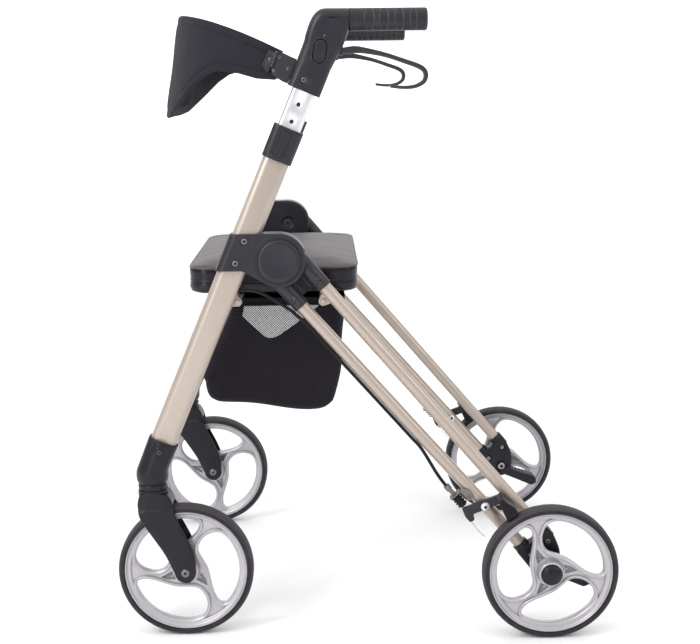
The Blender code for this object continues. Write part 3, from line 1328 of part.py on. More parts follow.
def build_pivoted():
    """Pieces with their origin on their own pivot: brake lever, brake arm and grip."""
    pivot = lever_pivot()
    lever = named(make_lever(), "brake_lever_left", "black_steel")
    lever.location = mast_to_world(pivot[0], 0, pivot[1])
    arm_pivot = brake_pivot()
    arm = named(make_brake_arm(), "brake_arm_left", "black_steel")
    arm.location = leg_to_world(arm_pivot[0], 0, arm_pivot[1])
    arm.rotation_euler = (0, LEG_DIP - BRAKE_ARM_TURN, 0)
    grip = named(make_grip(), "grip_left", "grip")
    grip.location = (GRIP_START, LEFT, GRIP_Z)
    return [lever, arm, grip]


def build_middle():
    """Pieces that join the two sides."""
    face = FRAME_HALF_WIDTH - MAST_DEPTH / 2
    front_bar = named(make_cross_bar(face + GAP), "front_cross_bar", "champagne")
    front_bar.location = (BAR_FRONT_X, 0, BAR_FRONT_Z)
    face = FRAME_HALF_WIDTH - REAR_LUG_SIDE - LUG_THICKNESS
    rear_bar = named(make_cross_bar(face), "rear_cross_bar", "champagne")
    rear_bar.location = (BAR_REAR_X, 0, BAR_REAR_Z)
    seat_frame = frame("seat_frame", (BAR_FRONT_X, 0, BAR_FRONT_Z))
    named(make_cushion(), "seat_cushion", "seat_vinyl", seat_frame)
    named(make_board(), "seat_board", "board", seat_frame)
    named(make_bag(), "bag", "fabric")
    named(make_strap(), "backrest_strap", "fabric")


pieces = build_left() + build_pivoted()
for piece in pieces:
    mirrored(piece, piece.name.replace("_left", "_right"))
build_wheels()
build_middle()
bpy.context.view_layer.update()
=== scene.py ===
"""Looks of a four-wheeled rollator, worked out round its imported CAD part.

Metres, +Z up, +X from the front wheels towards the user, the floor at z = 0. The left side is
y < 0; a piece of a side is worked out there and mirrored in the plane y = 0 for the right.
A shape is a pair: an array of points, and the faces that number them. An outline is rows of x
and z. A place is an origin and a turn about Y.
"""

import json
from math import atan2, cos, hypot, pi, radians, sin, tan

import bmesh
import bpy
import numpy as np
from mathutils import Matrix, Vector
from mathutils.bvhtree import BVHTree
from mathutils.geometry import tessellate_polygon


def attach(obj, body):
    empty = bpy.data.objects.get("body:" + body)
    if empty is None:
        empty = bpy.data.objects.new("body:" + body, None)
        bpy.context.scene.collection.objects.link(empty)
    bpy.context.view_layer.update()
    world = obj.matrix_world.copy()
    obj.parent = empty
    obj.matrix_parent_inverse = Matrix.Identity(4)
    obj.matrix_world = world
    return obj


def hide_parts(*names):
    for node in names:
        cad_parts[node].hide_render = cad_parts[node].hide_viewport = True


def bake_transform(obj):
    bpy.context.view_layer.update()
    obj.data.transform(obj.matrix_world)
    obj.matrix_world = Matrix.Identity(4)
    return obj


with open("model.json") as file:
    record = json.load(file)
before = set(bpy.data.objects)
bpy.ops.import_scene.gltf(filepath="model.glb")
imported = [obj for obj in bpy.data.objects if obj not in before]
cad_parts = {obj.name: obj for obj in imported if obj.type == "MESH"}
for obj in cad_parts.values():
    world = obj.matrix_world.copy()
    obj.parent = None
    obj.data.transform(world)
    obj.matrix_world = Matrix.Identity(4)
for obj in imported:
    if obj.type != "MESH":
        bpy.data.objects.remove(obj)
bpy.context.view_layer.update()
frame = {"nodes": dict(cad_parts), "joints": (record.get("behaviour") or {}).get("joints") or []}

# Places taken from the joints

JOINTS = {joint["name"]: joint for joint in frame["joints"]}


def joint_place(name):
    return np.array(JOINTS[name]["pos_m"], float)


LEFT = -0.250
HUB = joint_place("fold") * (1, 0, 1) + (0, LEFT, 0)
REAR_AXLE = joint_place("rear_wheel_spin_left")
FRONT_AXLE = joint_place("front_wheel_spin_left")
STEM = joint_place("caster_swivel_left") * (1, 1, 0)
LEVER_PIVOT = joint_place("brake_lever_left")
BRAKE_PIVOT = joint_place("brake_arm_left")
AXLE_Z = FRONT_AXLE[2]
TRAIL = FRONT_AXLE[0] - STEM[0]

# Sizes shared with the CAD part

LEAN = radians(23.13)
MAST_FOOT_Z = 0.2530
MAST_LENGTH = 0.0385
MAST_DEPTH = 0.024
MAST_CORNER = 0.0108
SLIDER_LENGTH = 0.0332
SLIDER_DEPTH = 0.0186
HOLE_PITCH = 0.0254
TOP_HOLE = 0.5691
HOUSING_START = 0.5885
HUB_BEHIND_MAST = 0.0563
CABLE_EXIT = 0.2943
CABLE_SLANT = radians(18)
GRIP_START = np.array([-0.0181, LEFT, 0.8906])
GRIP_RADIUS = 0.0156
GRIP_TOP = 0.9062
GRIP_BOTTOM = 0.8750
LEG_LENGTH = hypot(REAR_AXLE[0] - HUB[0], HUB[2] - REAR_AXLE[2])
DIP = atan2(HUB[2] - REAR_AXLE[2], REAR_AXLE[0] - HUB[0])
LOWER_TUBE = (-0.0197, -0.0107)
UPPER_TUBE = (0.0233, 0.0253)
TUBE_RADIUS = 0.0095
SOCKET_END = 0.0712
CABLE_RADIUS = 0.0025
FRONT_BAR = np.array([-0.18193, 0, 0.49713])
REAR_BAR = np.array([-0.05896, 0, 0.49713])
BAR_RADIUS = 0.005
BOLT_ALONG = 0.47025
STOP_ALONG = 0.42755
STOP_SIDE = -0.0105
STOP_DROP = 0.0217
WIRE_X, WIRE_Y = -0.0268, -0.0133
FORK_TOP = 0.2192
BAG_SIDE_Y = 0.175
BAG_TOP = 0.4918

ORIGIN = (0, 0, 0)
MAST = (STEM + (0, 0, MAST_FOOT_Z), LEAN)
STEM_PLACE = (STEM, 0.0)
LEG = (HUB, DIP)
HUB_PLACE = (HUB, 0.0)
FOOT = (REAR_AXLE * (1, 0, 1) + (0, LEFT, 0), DIP)
BRAKE = (BRAKE_PIVOT, DIP - radians(70.8))


# Arrays and lines

def turned_points(points, place):
    """x' = x cos a + z sin a and z' = z cos a - x sin a, then shifted by the origin."""
    points = np.asarray(points, float)
    origin, angle = place
    x, y, z = points[..., 0], points[..., 1], points[..., 2]
    return np.stack([x * cos(angle) + z * sin(angle), y, z * cos(angle) - x * sin(angle)], -1) + origin


def turned_flat(outline, degrees, centre=(0, 0)):
    """Outline turned about Y, then shifted."""
    return turned_points(at_y(outline, 0), (ORIGIN, radians(degrees)))[:, [0, 2]] + centre


def at_y(outline, y):
    return np.column_stack([outline[:, 0], np.full(len(outline), y), outline[:, 1]])


def at_z(section, z):
    return np.column_stack([section, np.full(len(section), z)])


def unit(vectors):
    return vectors / (np.linalg.norm(vectors, axis=-1, keepdims=True) + 1e-12)


def ramp(x, start, length):
    """0 before the start, 1 a length after it, straight between."""
    return np.clip((x - start) / length, 0, 1)


def eased(t):
    return t * t * (3 - 2 * t)


def relaxed(line, times=1):
    """Closed line whose points become the mean of a quarter, a half and a quarter of three."""
    for _ in range(times):
        line = (np.roll(line, 1, 0) + 2 * line + np.roll(line, -1, 0)) / 4
    return line


def directions(line):
    """Unit vectors along an open line and those a quarter turn to their left."""
    along = unit(np.gradient(line, axis=0))
    return along, np.stack([-along[:, 1], along[:, 0]], -1)


def inward(outline):
    """Unit vectors square to a closed outline, towards its inside."""
    after = np.roll(outline, -1, 0)
    tangent = unit(after - np.roll(outline, 1, 0))
    area = np.sum(outline[:, 0] * after[:, 1] - after[:, 0] * outline[:, 1])
    return np.stack([-tangent[:, 1], tangent[:, 0]], -1) * (1 if area > 0 else -1)


def resample(line, count, closed=False):
    """Points at equal steps of the line's length."""
    line = np.asarray(line, float)
    if closed:
        line = np.vstack([line, line[:1]])
    length = np.concatenate([[0], np.cumsum(np.linalg.norm(np.diff(line, axis=0), axis=1))])
    at = np.linspace(0, length[-1], count + closed)[:count]
    return np.stack([np.interp(at, length, line[:, k]) for k in range(line.shape[1])], -1)


def smooth(points, count):
    """Catmull-Rom curve: half of 2b + (c - a)t + (2a - 5b + 4c - d)t^2 + (3b - a - 3c + d)t^3."""
    p = np.asarray(points, float)
    ends = np.vstack([2 * p[0] - p[1], p, 2 * p[-1] - p[-2]])
    a, b, c, d = (q[:, None] for q in (ends[:-3], ends[1:-2], ends[2:-1], ends[3:]))
    t = (np.arange(16) / 16)[None, :, None]
    curve = 0.5 * (2 * b + (c - a) * t + (2 * a - 5 * b + 4 * c - d) * t ** 2
                   + (3 * b - a - 3 * c + d) * t ** 3)
    return resample(np.vstack([curve.reshape(-1, p.shape[1]), p[-1:]]), count)


def bezier(*points, count=20):
    """Cubic curve: the four points weighted by (1-t)^3, 3t(1-t)^2, 3t^2(1-t) and t^3."""
    t = np.linspace(0, 1, count)[:, None]
    p0, p1, p2, p3 = np.asarray(points, float)
    return (1 - t) ** 3 * p0 + 3 * t * (1 - t) ** 2 * p1 + 3 * t ** 2 * (1 - t) * p2 + t ** 3 * p3


def arc(x, z, radius, start, end, count=24):
    """Points on a circle's arc, angles in degrees."""
    angle = np.radians(np.linspace(start, end, count))
    return np.stack([x + radius * np.cos(angle), z + radius * np.sin(angle)], -1)


def circle(radius, count=32):
    return arc(0, 0, radius, 0, 360, count + 1)[:-1]


def softened(corners, radius, steps=5):
    """Each corner becomes a quadratic curve between the points a radius's distance along its edges."""
    p = np.asarray(corners, float)
    before, after = np.roll(p, 1, 0) - p, np.roll(p, -1, 0) - p
    shorter = np.minimum(np.linalg.norm(before, axis=1), np.linalg.norm(after, axis=1))
    cut = np.minimum(np.broadcast_to(radius, len(p)), 0.49 * shorter)[:, None]
    start, end = (p + unit(before) * cut)[:, None], (p + unit(after) * cut)[:, None]
    t = np.linspace(0, 1, steps + 1)[None, :, None]
    return ((1 - t) ** 2 * start + 2 * t * (1 - t) * p[:, None] + t ** 2 * end).reshape(-1, 2)


def rounded_rectangle(width, depth, corner, steps=8):
    """Outline round a middle; the corner's radius may differ at ++, -+, -- and +-."""
    corner = np.broadcast_to(corner, 4)
    return np.vstack([arc(sx * (width / 2 - r), sz * (depth / 2 - r), r, 90 * k, 90 * k + 90, steps)
                      for k, (sx, sz, r) in enumerate(zip((1, -1, -1, 1), (1, 1, -1, -1), corner))])


def stadium(length, width, steps=20):
    """Long round outline, its length along the second axis."""
    r, h = width / 2, (length - width) / 2
    return np.vstack([arc(0, h, r, 0, 180, steps), arc(0, -h, r, 180, 360, steps)])


def open_side(section, width, face):
    """Closed section turned to start at the end of its outer flat, so the flat is left out."""
    first = int(np.argmin(np.hypot(section[:, 0] - width / 2, section[:, 1] - face)))
    return np.roll(section, -first, 0)


# Shapes

def moved(shape, by):
    return shape[0] + np.asarray(by, float), shape[1]


def placed(shapes, place):
    return [(turned_points(points, place), faces) for points, faces in shapes]


def merged(shapes):
    """Several shapes as one."""
    faces, start = [], 0
    for points, own in shapes:
        faces += [[k + start for k in face] for face in own]
        start += len(points)
    return np.concatenate([points for points, _ in shapes]), faces


def grid(points, wrap=False, caps=False, loop=False):
    """Quads between neighbours of a rows by columns array; wrap closes each row, loop the columns."""
    points = np.asarray(points, float)
    rows, columns = points.shape[:2]
    index = np.arange(rows * columns).reshape(rows, columns)
    first, last = index[0].tolist(), index[-1].tolist()
    if wrap:
        index = np.hstack([index, index[:, :1]])
    if loop:
        index = np.vstack([index, index[:1]])
    quads = np.stack([index[:-1, :-1], index[:-1, 1:], index[1:, 1:], index[1:, :-1]], -1)
    faces = quads.reshape(-1, 4).tolist()
    if caps:
        faces += [first[::-1], last]
    return points.reshape(-1, 3), faces


def plate(outline, near, far, edge=0.0015, far_edge=None, steps=4, pockets=(), far_pockets=()):
    """Outline carried from y = near to y = far, drawn in by a quarter circle at each face.

    Pockets are (outline, depth) pairs sunk in the near or far face.
    """
    far_edge = edge if far_edge is None else far_edge
    out = -1 if far > near else 1
    inner = inward(outline)
    turn = np.linspace(0, pi / 2, steps + 1)[:, None]
    rows = []
    for face, size, sign in ((near, edge, 1), (far, far_edge, -1)):
        flat = outline[None] + size * (1 - np.sin(turn))[..., None] * inner[None]
        y = face - sign * out * size * (1 - np.cos(turn)) + 0 * flat[..., 0]
        ring = np.stack([flat[..., 0], y, flat[..., 1]], -1)
        ring = np.concatenate([ring[:1] + 0.0004 * at_y(inner, 0)[None], ring])
        rows.append(ring if sign > 0 else ring[::-1])
    points = np.concatenate(rows)
    shapes = [grid(points, wrap=True)]
    for row, holes, face, side in ((points[0], pockets, near, out), (points[-1], far_pockets, far, -out)):
        shapes += pocketed_face(row[:, [0, 2]], holes, face, side)
    return merged(shapes)


def pocketed_face(outline, pockets, face, out):
    """Plane between an outline and its pockets filled with triangles, with each pocket's wall and floor."""
    loops = [outline] + [pocket for pocket, _ in pockets]
    fill = tessellate_polygon([[Vector((x, z, 0)) for x, z in loop] for loop in loops])
    shapes = [(at_y(np.concatenate(loops), face), [list(triangle) for triangle in fill])]
    for pocket, deep in pockets:
        inner = inward(pocket)
        wall, faces = grid([at_y(pocket + drawn * inner, face - out * sunk) for drawn, sunk in (
            (0, 0), (0.0002, 0.0003), (0.0002, deep - 0.0003), (0.0006, deep))], wrap=True)
        shapes.append((wall, faces + [list(range(len(wall) - len(pocket), len(wall)))]))
    return shapes


def prism(outline, near, far, edge=0.0006, steps=3):
    """Plate stood on end: outline in x and y carried from z = near to z = far."""
    points, faces = plate(outline, near, far, edge, steps=steps)
    return points[:, [0, 2, 1]], faces


def turned(profile, count=64, axis="y", closed=False):
    """Profile of (radius, height) points carried round an axis through the origin."""
    profile = np.asarray(profile, float)
    angle = np.linspace(0, 2 * pi, count, endpoint=False)
    a, b = profile[:, :1] * np.cos(angle), profile[:, :1] * np.sin(angle)
    h = profile[:, 1:] + 0 * angle
    return grid(np.stack({"x": (h, a, b), "y": (a, h, b), "z": (a, b, h)}[axis], -1), wrap=True, loop=closed)


def mirrored_profile(half):
    """Closed profile: a half from the middle plane outwards, and its mirror image back."""
    half = np.asarray(half, float)
    return np.vstack([half, half[::-1] * (1, -1)])


def swept(path, section, size=None, side=(0, 1, 0), loop=False):
    """Section carried along a path: its axes lie on the side vector squared to the path, and across it."""
    path, side = np.asarray(path, float), np.asarray(side, float)
    tangent = unit(np.roll(path, -1, 0) - np.roll(path, 1, 0) if loop else np.gradient(path, axis=0))
    u = unit(side - (tangent @ side)[:, None] * tangent)
    v = np.cross(tangent, u)
    size = np.ones(len(path)) if size is None else size
    offset = section[None, :, :1] * u[:, None] + section[None, :, 1:] * v[:, None]
    return grid(path[:, None] + size[:, None, None] * offset, wrap=True, caps=not loop, loop=loop)


def rod(start, end, radius, edge=0.0008, count=40):
    """Round bar between two points with its ends drawn in by a quarter circle."""
    start, end = np.asarray(start, float), np.asarray(end, float)
    length = np.linalg.norm(end - start)
    turn = np.linspace(0, pi / 2, 5)
    lead, size = edge * (1 - np.cos(turn)), radius - edge * (1 - np.sin(turn))
    at = np.concatenate([lead, (length - lead)[::-1]]) / length
    side = (0, 1, 0) if abs(end[1] - start[1]) < 0.9 * length else (0, 0, 1)
    path = start + at[:, None] * (end - start)
    return swept(path, circle(1.0, count), np.concatenate([size, size[::-1]]), side)


def barrel(start, end, inner, outer, edge):
    """Round sleeve between two points: its wall from bore to outside with drawn-in ends."""
    start, end = np.asarray(start, float), np.asarray(end, float)
    length = np.linalg.norm(end - start)
    front = [(inner, 0), (outer - edge, 0), (outer - 0.3 * edge, 0.3 * edge), (outer, edge)]
    profile = front + [(r, length - h) for r, h in front[::-1]]
    place = (start, -atan2(end[2] - start[2], end[0] - start[0]))
    return placed([turned(profile, 48, "x", closed=True)], place)[0]


def screw(centre, radius, proud, out=-1, socket=0.5):
    """Button head on a face square to Y: rings out from a six-sided socket, whose corners lie on
    the radius times cos 30 over the cosine of the angle from the nearest flat."""
    angle = np.linspace(0, 2 * pi, 24, endpoint=False)
    six = cos(pi / 6) / np.cos(np.mod(angle, pi / 3) - pi / 6)
    rows = [(0, 0.1, 1), (socket, 0.1, six), (socket, 0.96, six), (0.66, 1.0, 1), (0.86, 0.86, 1),
            (1, 0.45, 1), (1, -0.6, 1), (0, -0.6, 1)]
    r = radius * np.stack([a * c * np.ones(24) for a, _, c in rows])
    h = np.array([b for _, b, _ in rows])[:, None] * proud
    return moved(grid(np.stack([r * np.cos(angle), out * (h + 0 * angle), r * np.sin(angle)], -1), wrap=True),
                 centre)


def collar_ring(centre, inner, outer, height, out=-1):
    """Low round moulding on a face square to Y, half a sine wave high between its two radii."""
    t = np.linspace(0, 1, 9)
    profile = np.stack([inner + (outer - inner) * t, out * height * (np.sin(pi * t) - 0.15)], -1)
    base = [(outer, -out * 0.0008), (inner, -out * 0.0008)]
    return moved(turned(np.vstack([profile, base]), 40, closed=True), centre)


# Pieces

def paint(mesh, name, value):
    """Point attribute of a mesh: a number or a vector for each point."""
    value = np.asarray(value, np.float32)
    kind, field = ("FLOAT", "value") if value.ndim == 1 else ("FLOAT_VECTOR", "vector")
    mesh.attributes.new(name, kind, "POINT").data.foreach_set(field, value.ravel())


def points_of(obj):
    return np.array([v.co[:] for v in obj.data.vertices])


def linked(name, data):
    """Object of a mesh, light or camera, in the scene."""
    obj = bpy.data.objects.new(name, data)
    bpy.context.scene.collection.objects.link(obj)
    return obj


def make_mesh(name, shapes, values=None):
    """One mesh of several shapes, doubles merged and faces outwards; values are point attributes."""
    points, faces = merged(shapes)
    mesh = bpy.data.meshes.new(name)
    mesh.from_pydata(points, [], faces)
    for key, value in (values or {}).items():
        paint(mesh, key, value)
    data = bmesh.new()
    data.from_mesh(mesh)
    bmesh.ops.remove_doubles(data, verts=data.verts, dist=2e-6)
    bmesh.ops.dissolve_degenerate(data, edges=data.edges, dist=1e-7)
    bmesh.ops.recalc_face_normals(data, faces=data.faces)
    data.to_mesh(mesh)
    data.free()
    mesh.shade_smooth()
    mesh.set_sharp_from_angle(angle=radians(38))
    return mesh


def piece(name, shapes, finish, body, values=None, flip=False):
    """Piece of the object: rides on a body and stands for the CAD node of its name; flip mirrors it."""
    if flip:
        shapes = [(points * (1, -1, 1), faces) for points, faces in shapes]
    obj = linked(name, make_mesh(name, shapes, values))
    obj.data.materials.append(FINISHES[finish])
    if name in frame["nodes"]:
        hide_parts(name)
    if body:
        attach(obj, body)
    return obj


def both(name, shapes, finish, body, place=None, values=None):
    """The piece on the left and its mirror image on the right; {} in a body's name becomes the side."""
    shapes = placed(shapes, place) if place else shapes
    return [piece(f"{name}_{side}", shapes, finish, body and body.format(side), values, side == "right")
            for side in ("left", "right")]


def socketed(name, heads, place, body, finish="dull_steel", more=()):
    """Button heads with the floors of their sockets as dark discs of painted shade; heads are screw()'s
    values.
    """
    floors = [rod(centre, np.add(centre, (0, out * 0.62 * proud, 0)), 0.90 * socket * radius, 0.0001, 12)
              for centre, radius, proud, out, socket in heads]
    both(name, list(more) + [screw(*head) for head in heads], finish, body, place)
    both(name + "_sockets", floors, "dark_void", body, place)


# Finishes

FINISHES = {}
SLOTS = {name: name for name in ("champagne", "silver", "black_plastic", "black_steel", "rim_plastic", "tyre",
                                 "grip", "rubber", "seat_vinyl", "fabric", "steel", "board")}
SLOTS.update(foot_plastic="black_plastic", strap_cloth="fabric", dull_steel="steel")


class Finish:
    """Procedural material round one Principled shader, its patterns on Object coordinates."""

    def __init__(self, name, colour, roughness, metallic=0.0, **inputs):
        self.material = bpy.data.materials.new(name)
        self.material.use_nodes = True
        self.tree = self.material.node_tree
        self.shader = self.tree.nodes["Principled BSDF"]
        self.place = self.node("ShaderNodeTexCoord", output="Object")
        self.normal = None
        self.colour = (*colour, 1)
        self.roughness = roughness
        self.shader.inputs["Metallic"].default_value = metallic
        for key, value in inputs.items():
            self.shader.inputs[key.replace("_", " ")].default_value = value
        FINISHES[name] = self.material

    def node(self, kind, inputs=(), output=0, **settings):
        made = self.tree.nodes.new(kind)
        for key, value in settings.items():
            setattr(made, key, value)
        for key, value in dict(inputs).items():
            self.put(made.inputs[key], value)
        return made.outputs[output]

    def put(self, socket, value):
        if isinstance(value, bpy.types.NodeSocket):
            self.tree.links.new(value, socket)
        else:
            socket.default_value = value

    def stretched(self, x, y, z):
        return self.node("ShaderNodeMapping", {"Vector": self.place, "Scale": (x, y, z)})

    def noise(self, scale, detail=3.0, vector=None):
        return self.node("ShaderNodeTexNoise", {"Vector": vector or self.place, "Scale": scale,
                                                "Detail": detail})

    def cells(self, scale, vector=None):
        return self.node("ShaderNodeTexVoronoi", {"Vector": vector or self.place, "Scale": scale})

    def mark(self):
        return self.node("ShaderNodeAttribute", output="Fac", attribute_name="mark")

    def map(self, value, low, high, to_low=0.0, to_high=1.0):
        return self.node("ShaderNodeMapRange", {"Value": value, "From Min": low, "From Max": high,
                                                "To Min": to_low, "To Max": to_high})

    def maths(self, operation, a, b):
        return self.node("ShaderNodeMath", {0: a, 1: b}, operation=operation)

    def tint(self, share, colour):
        """Blends the colour so far towards another by a share."""
        self.colour = self.node("ShaderNodeMix", {0: share, 6: self.colour, 7: (*colour, 1)}, output=2,
                                data_type="RGBA")
        return self

    def bump(self, height, distance, strength):
        inputs = {"Height": height, "Distance": distance, "Strength": strength}
        if self.normal:
            inputs["Normal"] = self.normal
        self.normal = self.node("ShaderNodeBump", inputs)
        return self

    def grain(self, scale, detail, distance, strength):
        return self.bump(self.noise(scale, detail), distance, strength)

    def pits(self, scale, distance, strength):
        return self.bump(self.cells(scale), distance, strength)

    def mottled(self, scale, low, high, share, colour, detail=3.0):
        """Tinted where a noise passes from low to high, up to a share."""
        return self.tint(self.map(self.noise(scale, detail), low, high, 0.0, share), colour)

    def shine(self, scale, smoothest, roughest):
        """Roughness that wanders with a noise."""
        self.roughness = self.map(self.noise(scale), 0.3, 0.7, smoothest, roughest)
        return self

    def worn(self, colour, share):
        """Lighter rub on the pointed edges, broken up by a noise."""
        edge = self.map(self.node("ShaderNodeNewGeometry", output="Pointiness"), 0.53, 0.62)
        patches = self.map(self.noise(140.0), 0.42, 0.68)
        return self.tint(self.maths("MULTIPLY", self.maths("MULTIPLY", edge, patches), share), colour)

    def done(self):
        self.put(self.shader.inputs["Base Color"], self.colour)
        self.put(self.shader.inputs["Roughness"], self.roughness)
        if self.normal:
            self.put(self.shader.inputs["Normal"], self.normal)


def metal_finishes():
    """Lacquered, anodised, zinc-plated and powder-coated metal."""
    lacquer = Finish("champagne", (0.455, 0.385, 0.335), 0.38, 0.55, Coat_Weight=0.35, Coat_Roughness=0.2)
    lacquer.mottled(30, 0.3, 0.7, 0.10, (0.38, 0.315, 0.265)).shine(60, 0.34, 0.46)
    lacquer.grain(2600, 1, 0.00003, 0.35).grain(180, 2, 0.00008, 0.25).worn((0.78, 0.72, 0.68), 0.25).done()

    anodised = Finish("silver", (0.78, 0.78, 0.81), 0.36, 0.8)
    brushed = anodised.noise(900, 2, anodised.stretched(1, 1, 0.02))
    anodised.bump(brushed, 0.00003, 0.4)
    anodised.roughness = anodised.map(brushed, 0.3, 0.7, 0.26, 0.40)
    anodised.mottled(45, 0.4, 0.7, 0.10, (0.66, 0.66, 0.69)).done()

    zinc = Finish("steel", (0.40, 0.385, 0.375), 0.3, 1.0).shine(260, 0.18, 0.42)
    zinc.mottled(90, 0.45, 0.7, 0.4, (0.22, 0.205, 0.195)).grain(1500, 1, 0.00003, 0.4).done()
    dull = Finish("dull_steel", (0.215, 0.195, 0.185), 0.4, 1.0)
    dull.shine(260, 0.30, 0.55).grain(1500, 1, 0.00003, 0.4).done()
    coated = Finish("black_steel", (0.0165, 0.0148, 0.0200), 0.34, Coat_Weight=0.25, Coat_Roughness=0.2)
    coated.grain(950, 2, 0.00008, 0.35).shine(120, 0.28, 0.45).worn((0.16, 0.16, 0.17), 0.45).done()


def plastic_finishes():
    """Moulded plastics: spark-eroded grain, soft mottling and rubbed edges."""
    # The second, darker copy of black plastic goes on the low parts (caster housings, forks, axle brackets,
    # axle caps): painted shade.
    for name, colour, shine in (("black_plastic", (0.0125, 0.0105, 0.0172), 0.45),
                                ("foot_plastic", (0.0082, 0.0066, 0.0115), 0.30)):
        black = Finish(name, colour, 0.38, Specular_IOR_Level=shine)
        black.pits(1500, 0.00005, 0.35).grain(55, 2, 0.0003, 0.10).shine(70, 0.32, 0.46)
        black.mottled(22, 0.45, 0.75, 0.25, tuple(1.8 * c for c in colour))
        black.tint(black.mark(), (0.004, 0.004, 0.005)).worn((0.11, 0.105, 0.115), 0.40).done()

    rim = Finish("rim_plastic", (0.470, 0.452, 0.482), 0.32, 0.55, Coat_Weight=0.3, Coat_Roughness=0.22)
    rim.grain(1700, 1, 0.00003, 0.3).mottled(35, 0.4, 0.75, 0.18, (0.38, 0.365, 0.392))
    rim.tint(rim.map(rim.mark(), 0.25, 0.8), (0.205, 0.212, 0.206)).shine(80, 0.30, 0.44).done()

    board = Finish("board", (0.028, 0.028, 0.029), 0.6)
    board.grain(420, 4, 0.0002, 0.4).mottled(60, 0.45, 0.7, 0.4, (0.05, 0.048, 0.046)).done()


def rubber_finishes():
    """Tyre, grip and cable rubber."""
    tyre = Finish("tyre", (0.0085, 0.0070, 0.0112), 0.46, Specular_IOR_Level=0.38)
    # The tread (its mark) is painted paler: painted light from above on the tread.
    tyre.tint(tyre.mark(), (0.046, 0.040, 0.046))
    dust = tyre.map(tyre.noise(38, 5), 0.5, 0.75)
    tyre.tint(tyre.maths("MULTIPLY", dust, 0.12), (0.13, 0.125, 0.12))
    tyre.roughness = tyre.map(tyre.mark(), 0.0, 1.0, 0.44, 0.78)
    tyre.grain(1100, 2, 0.0001, 0.4).done()

    grip = Finish("grip", (0.0135, 0.0115, 0.0178), 0.44, Specular_IOR_Level=0.38)
    grip.pits(1900, 0.00006, 0.4).mottled(75, 0.45, 0.7, 0.35, (0.030, 0.027, 0.034))
    # Ribs of the grip (its mark) are tinted lighter: a painted highlight along the ridges.
    grip.tint(grip.maths("MULTIPLY", grip.mark(), 0.25), (0.085, 0.080, 0.092))
    grip.worn((0.15, 0.148, 0.155), 0.4).done()

    rubber = Finish("rubber", (0.0060, 0.0052, 0.0075), 0.42, Specular_IOR_Level=0.2)
    rubber.grain(900, 2, 0.00006, 0.4).mottled(50, 0.5, 0.75, 0.2, (0.03, 0.028, 0.030)).done()


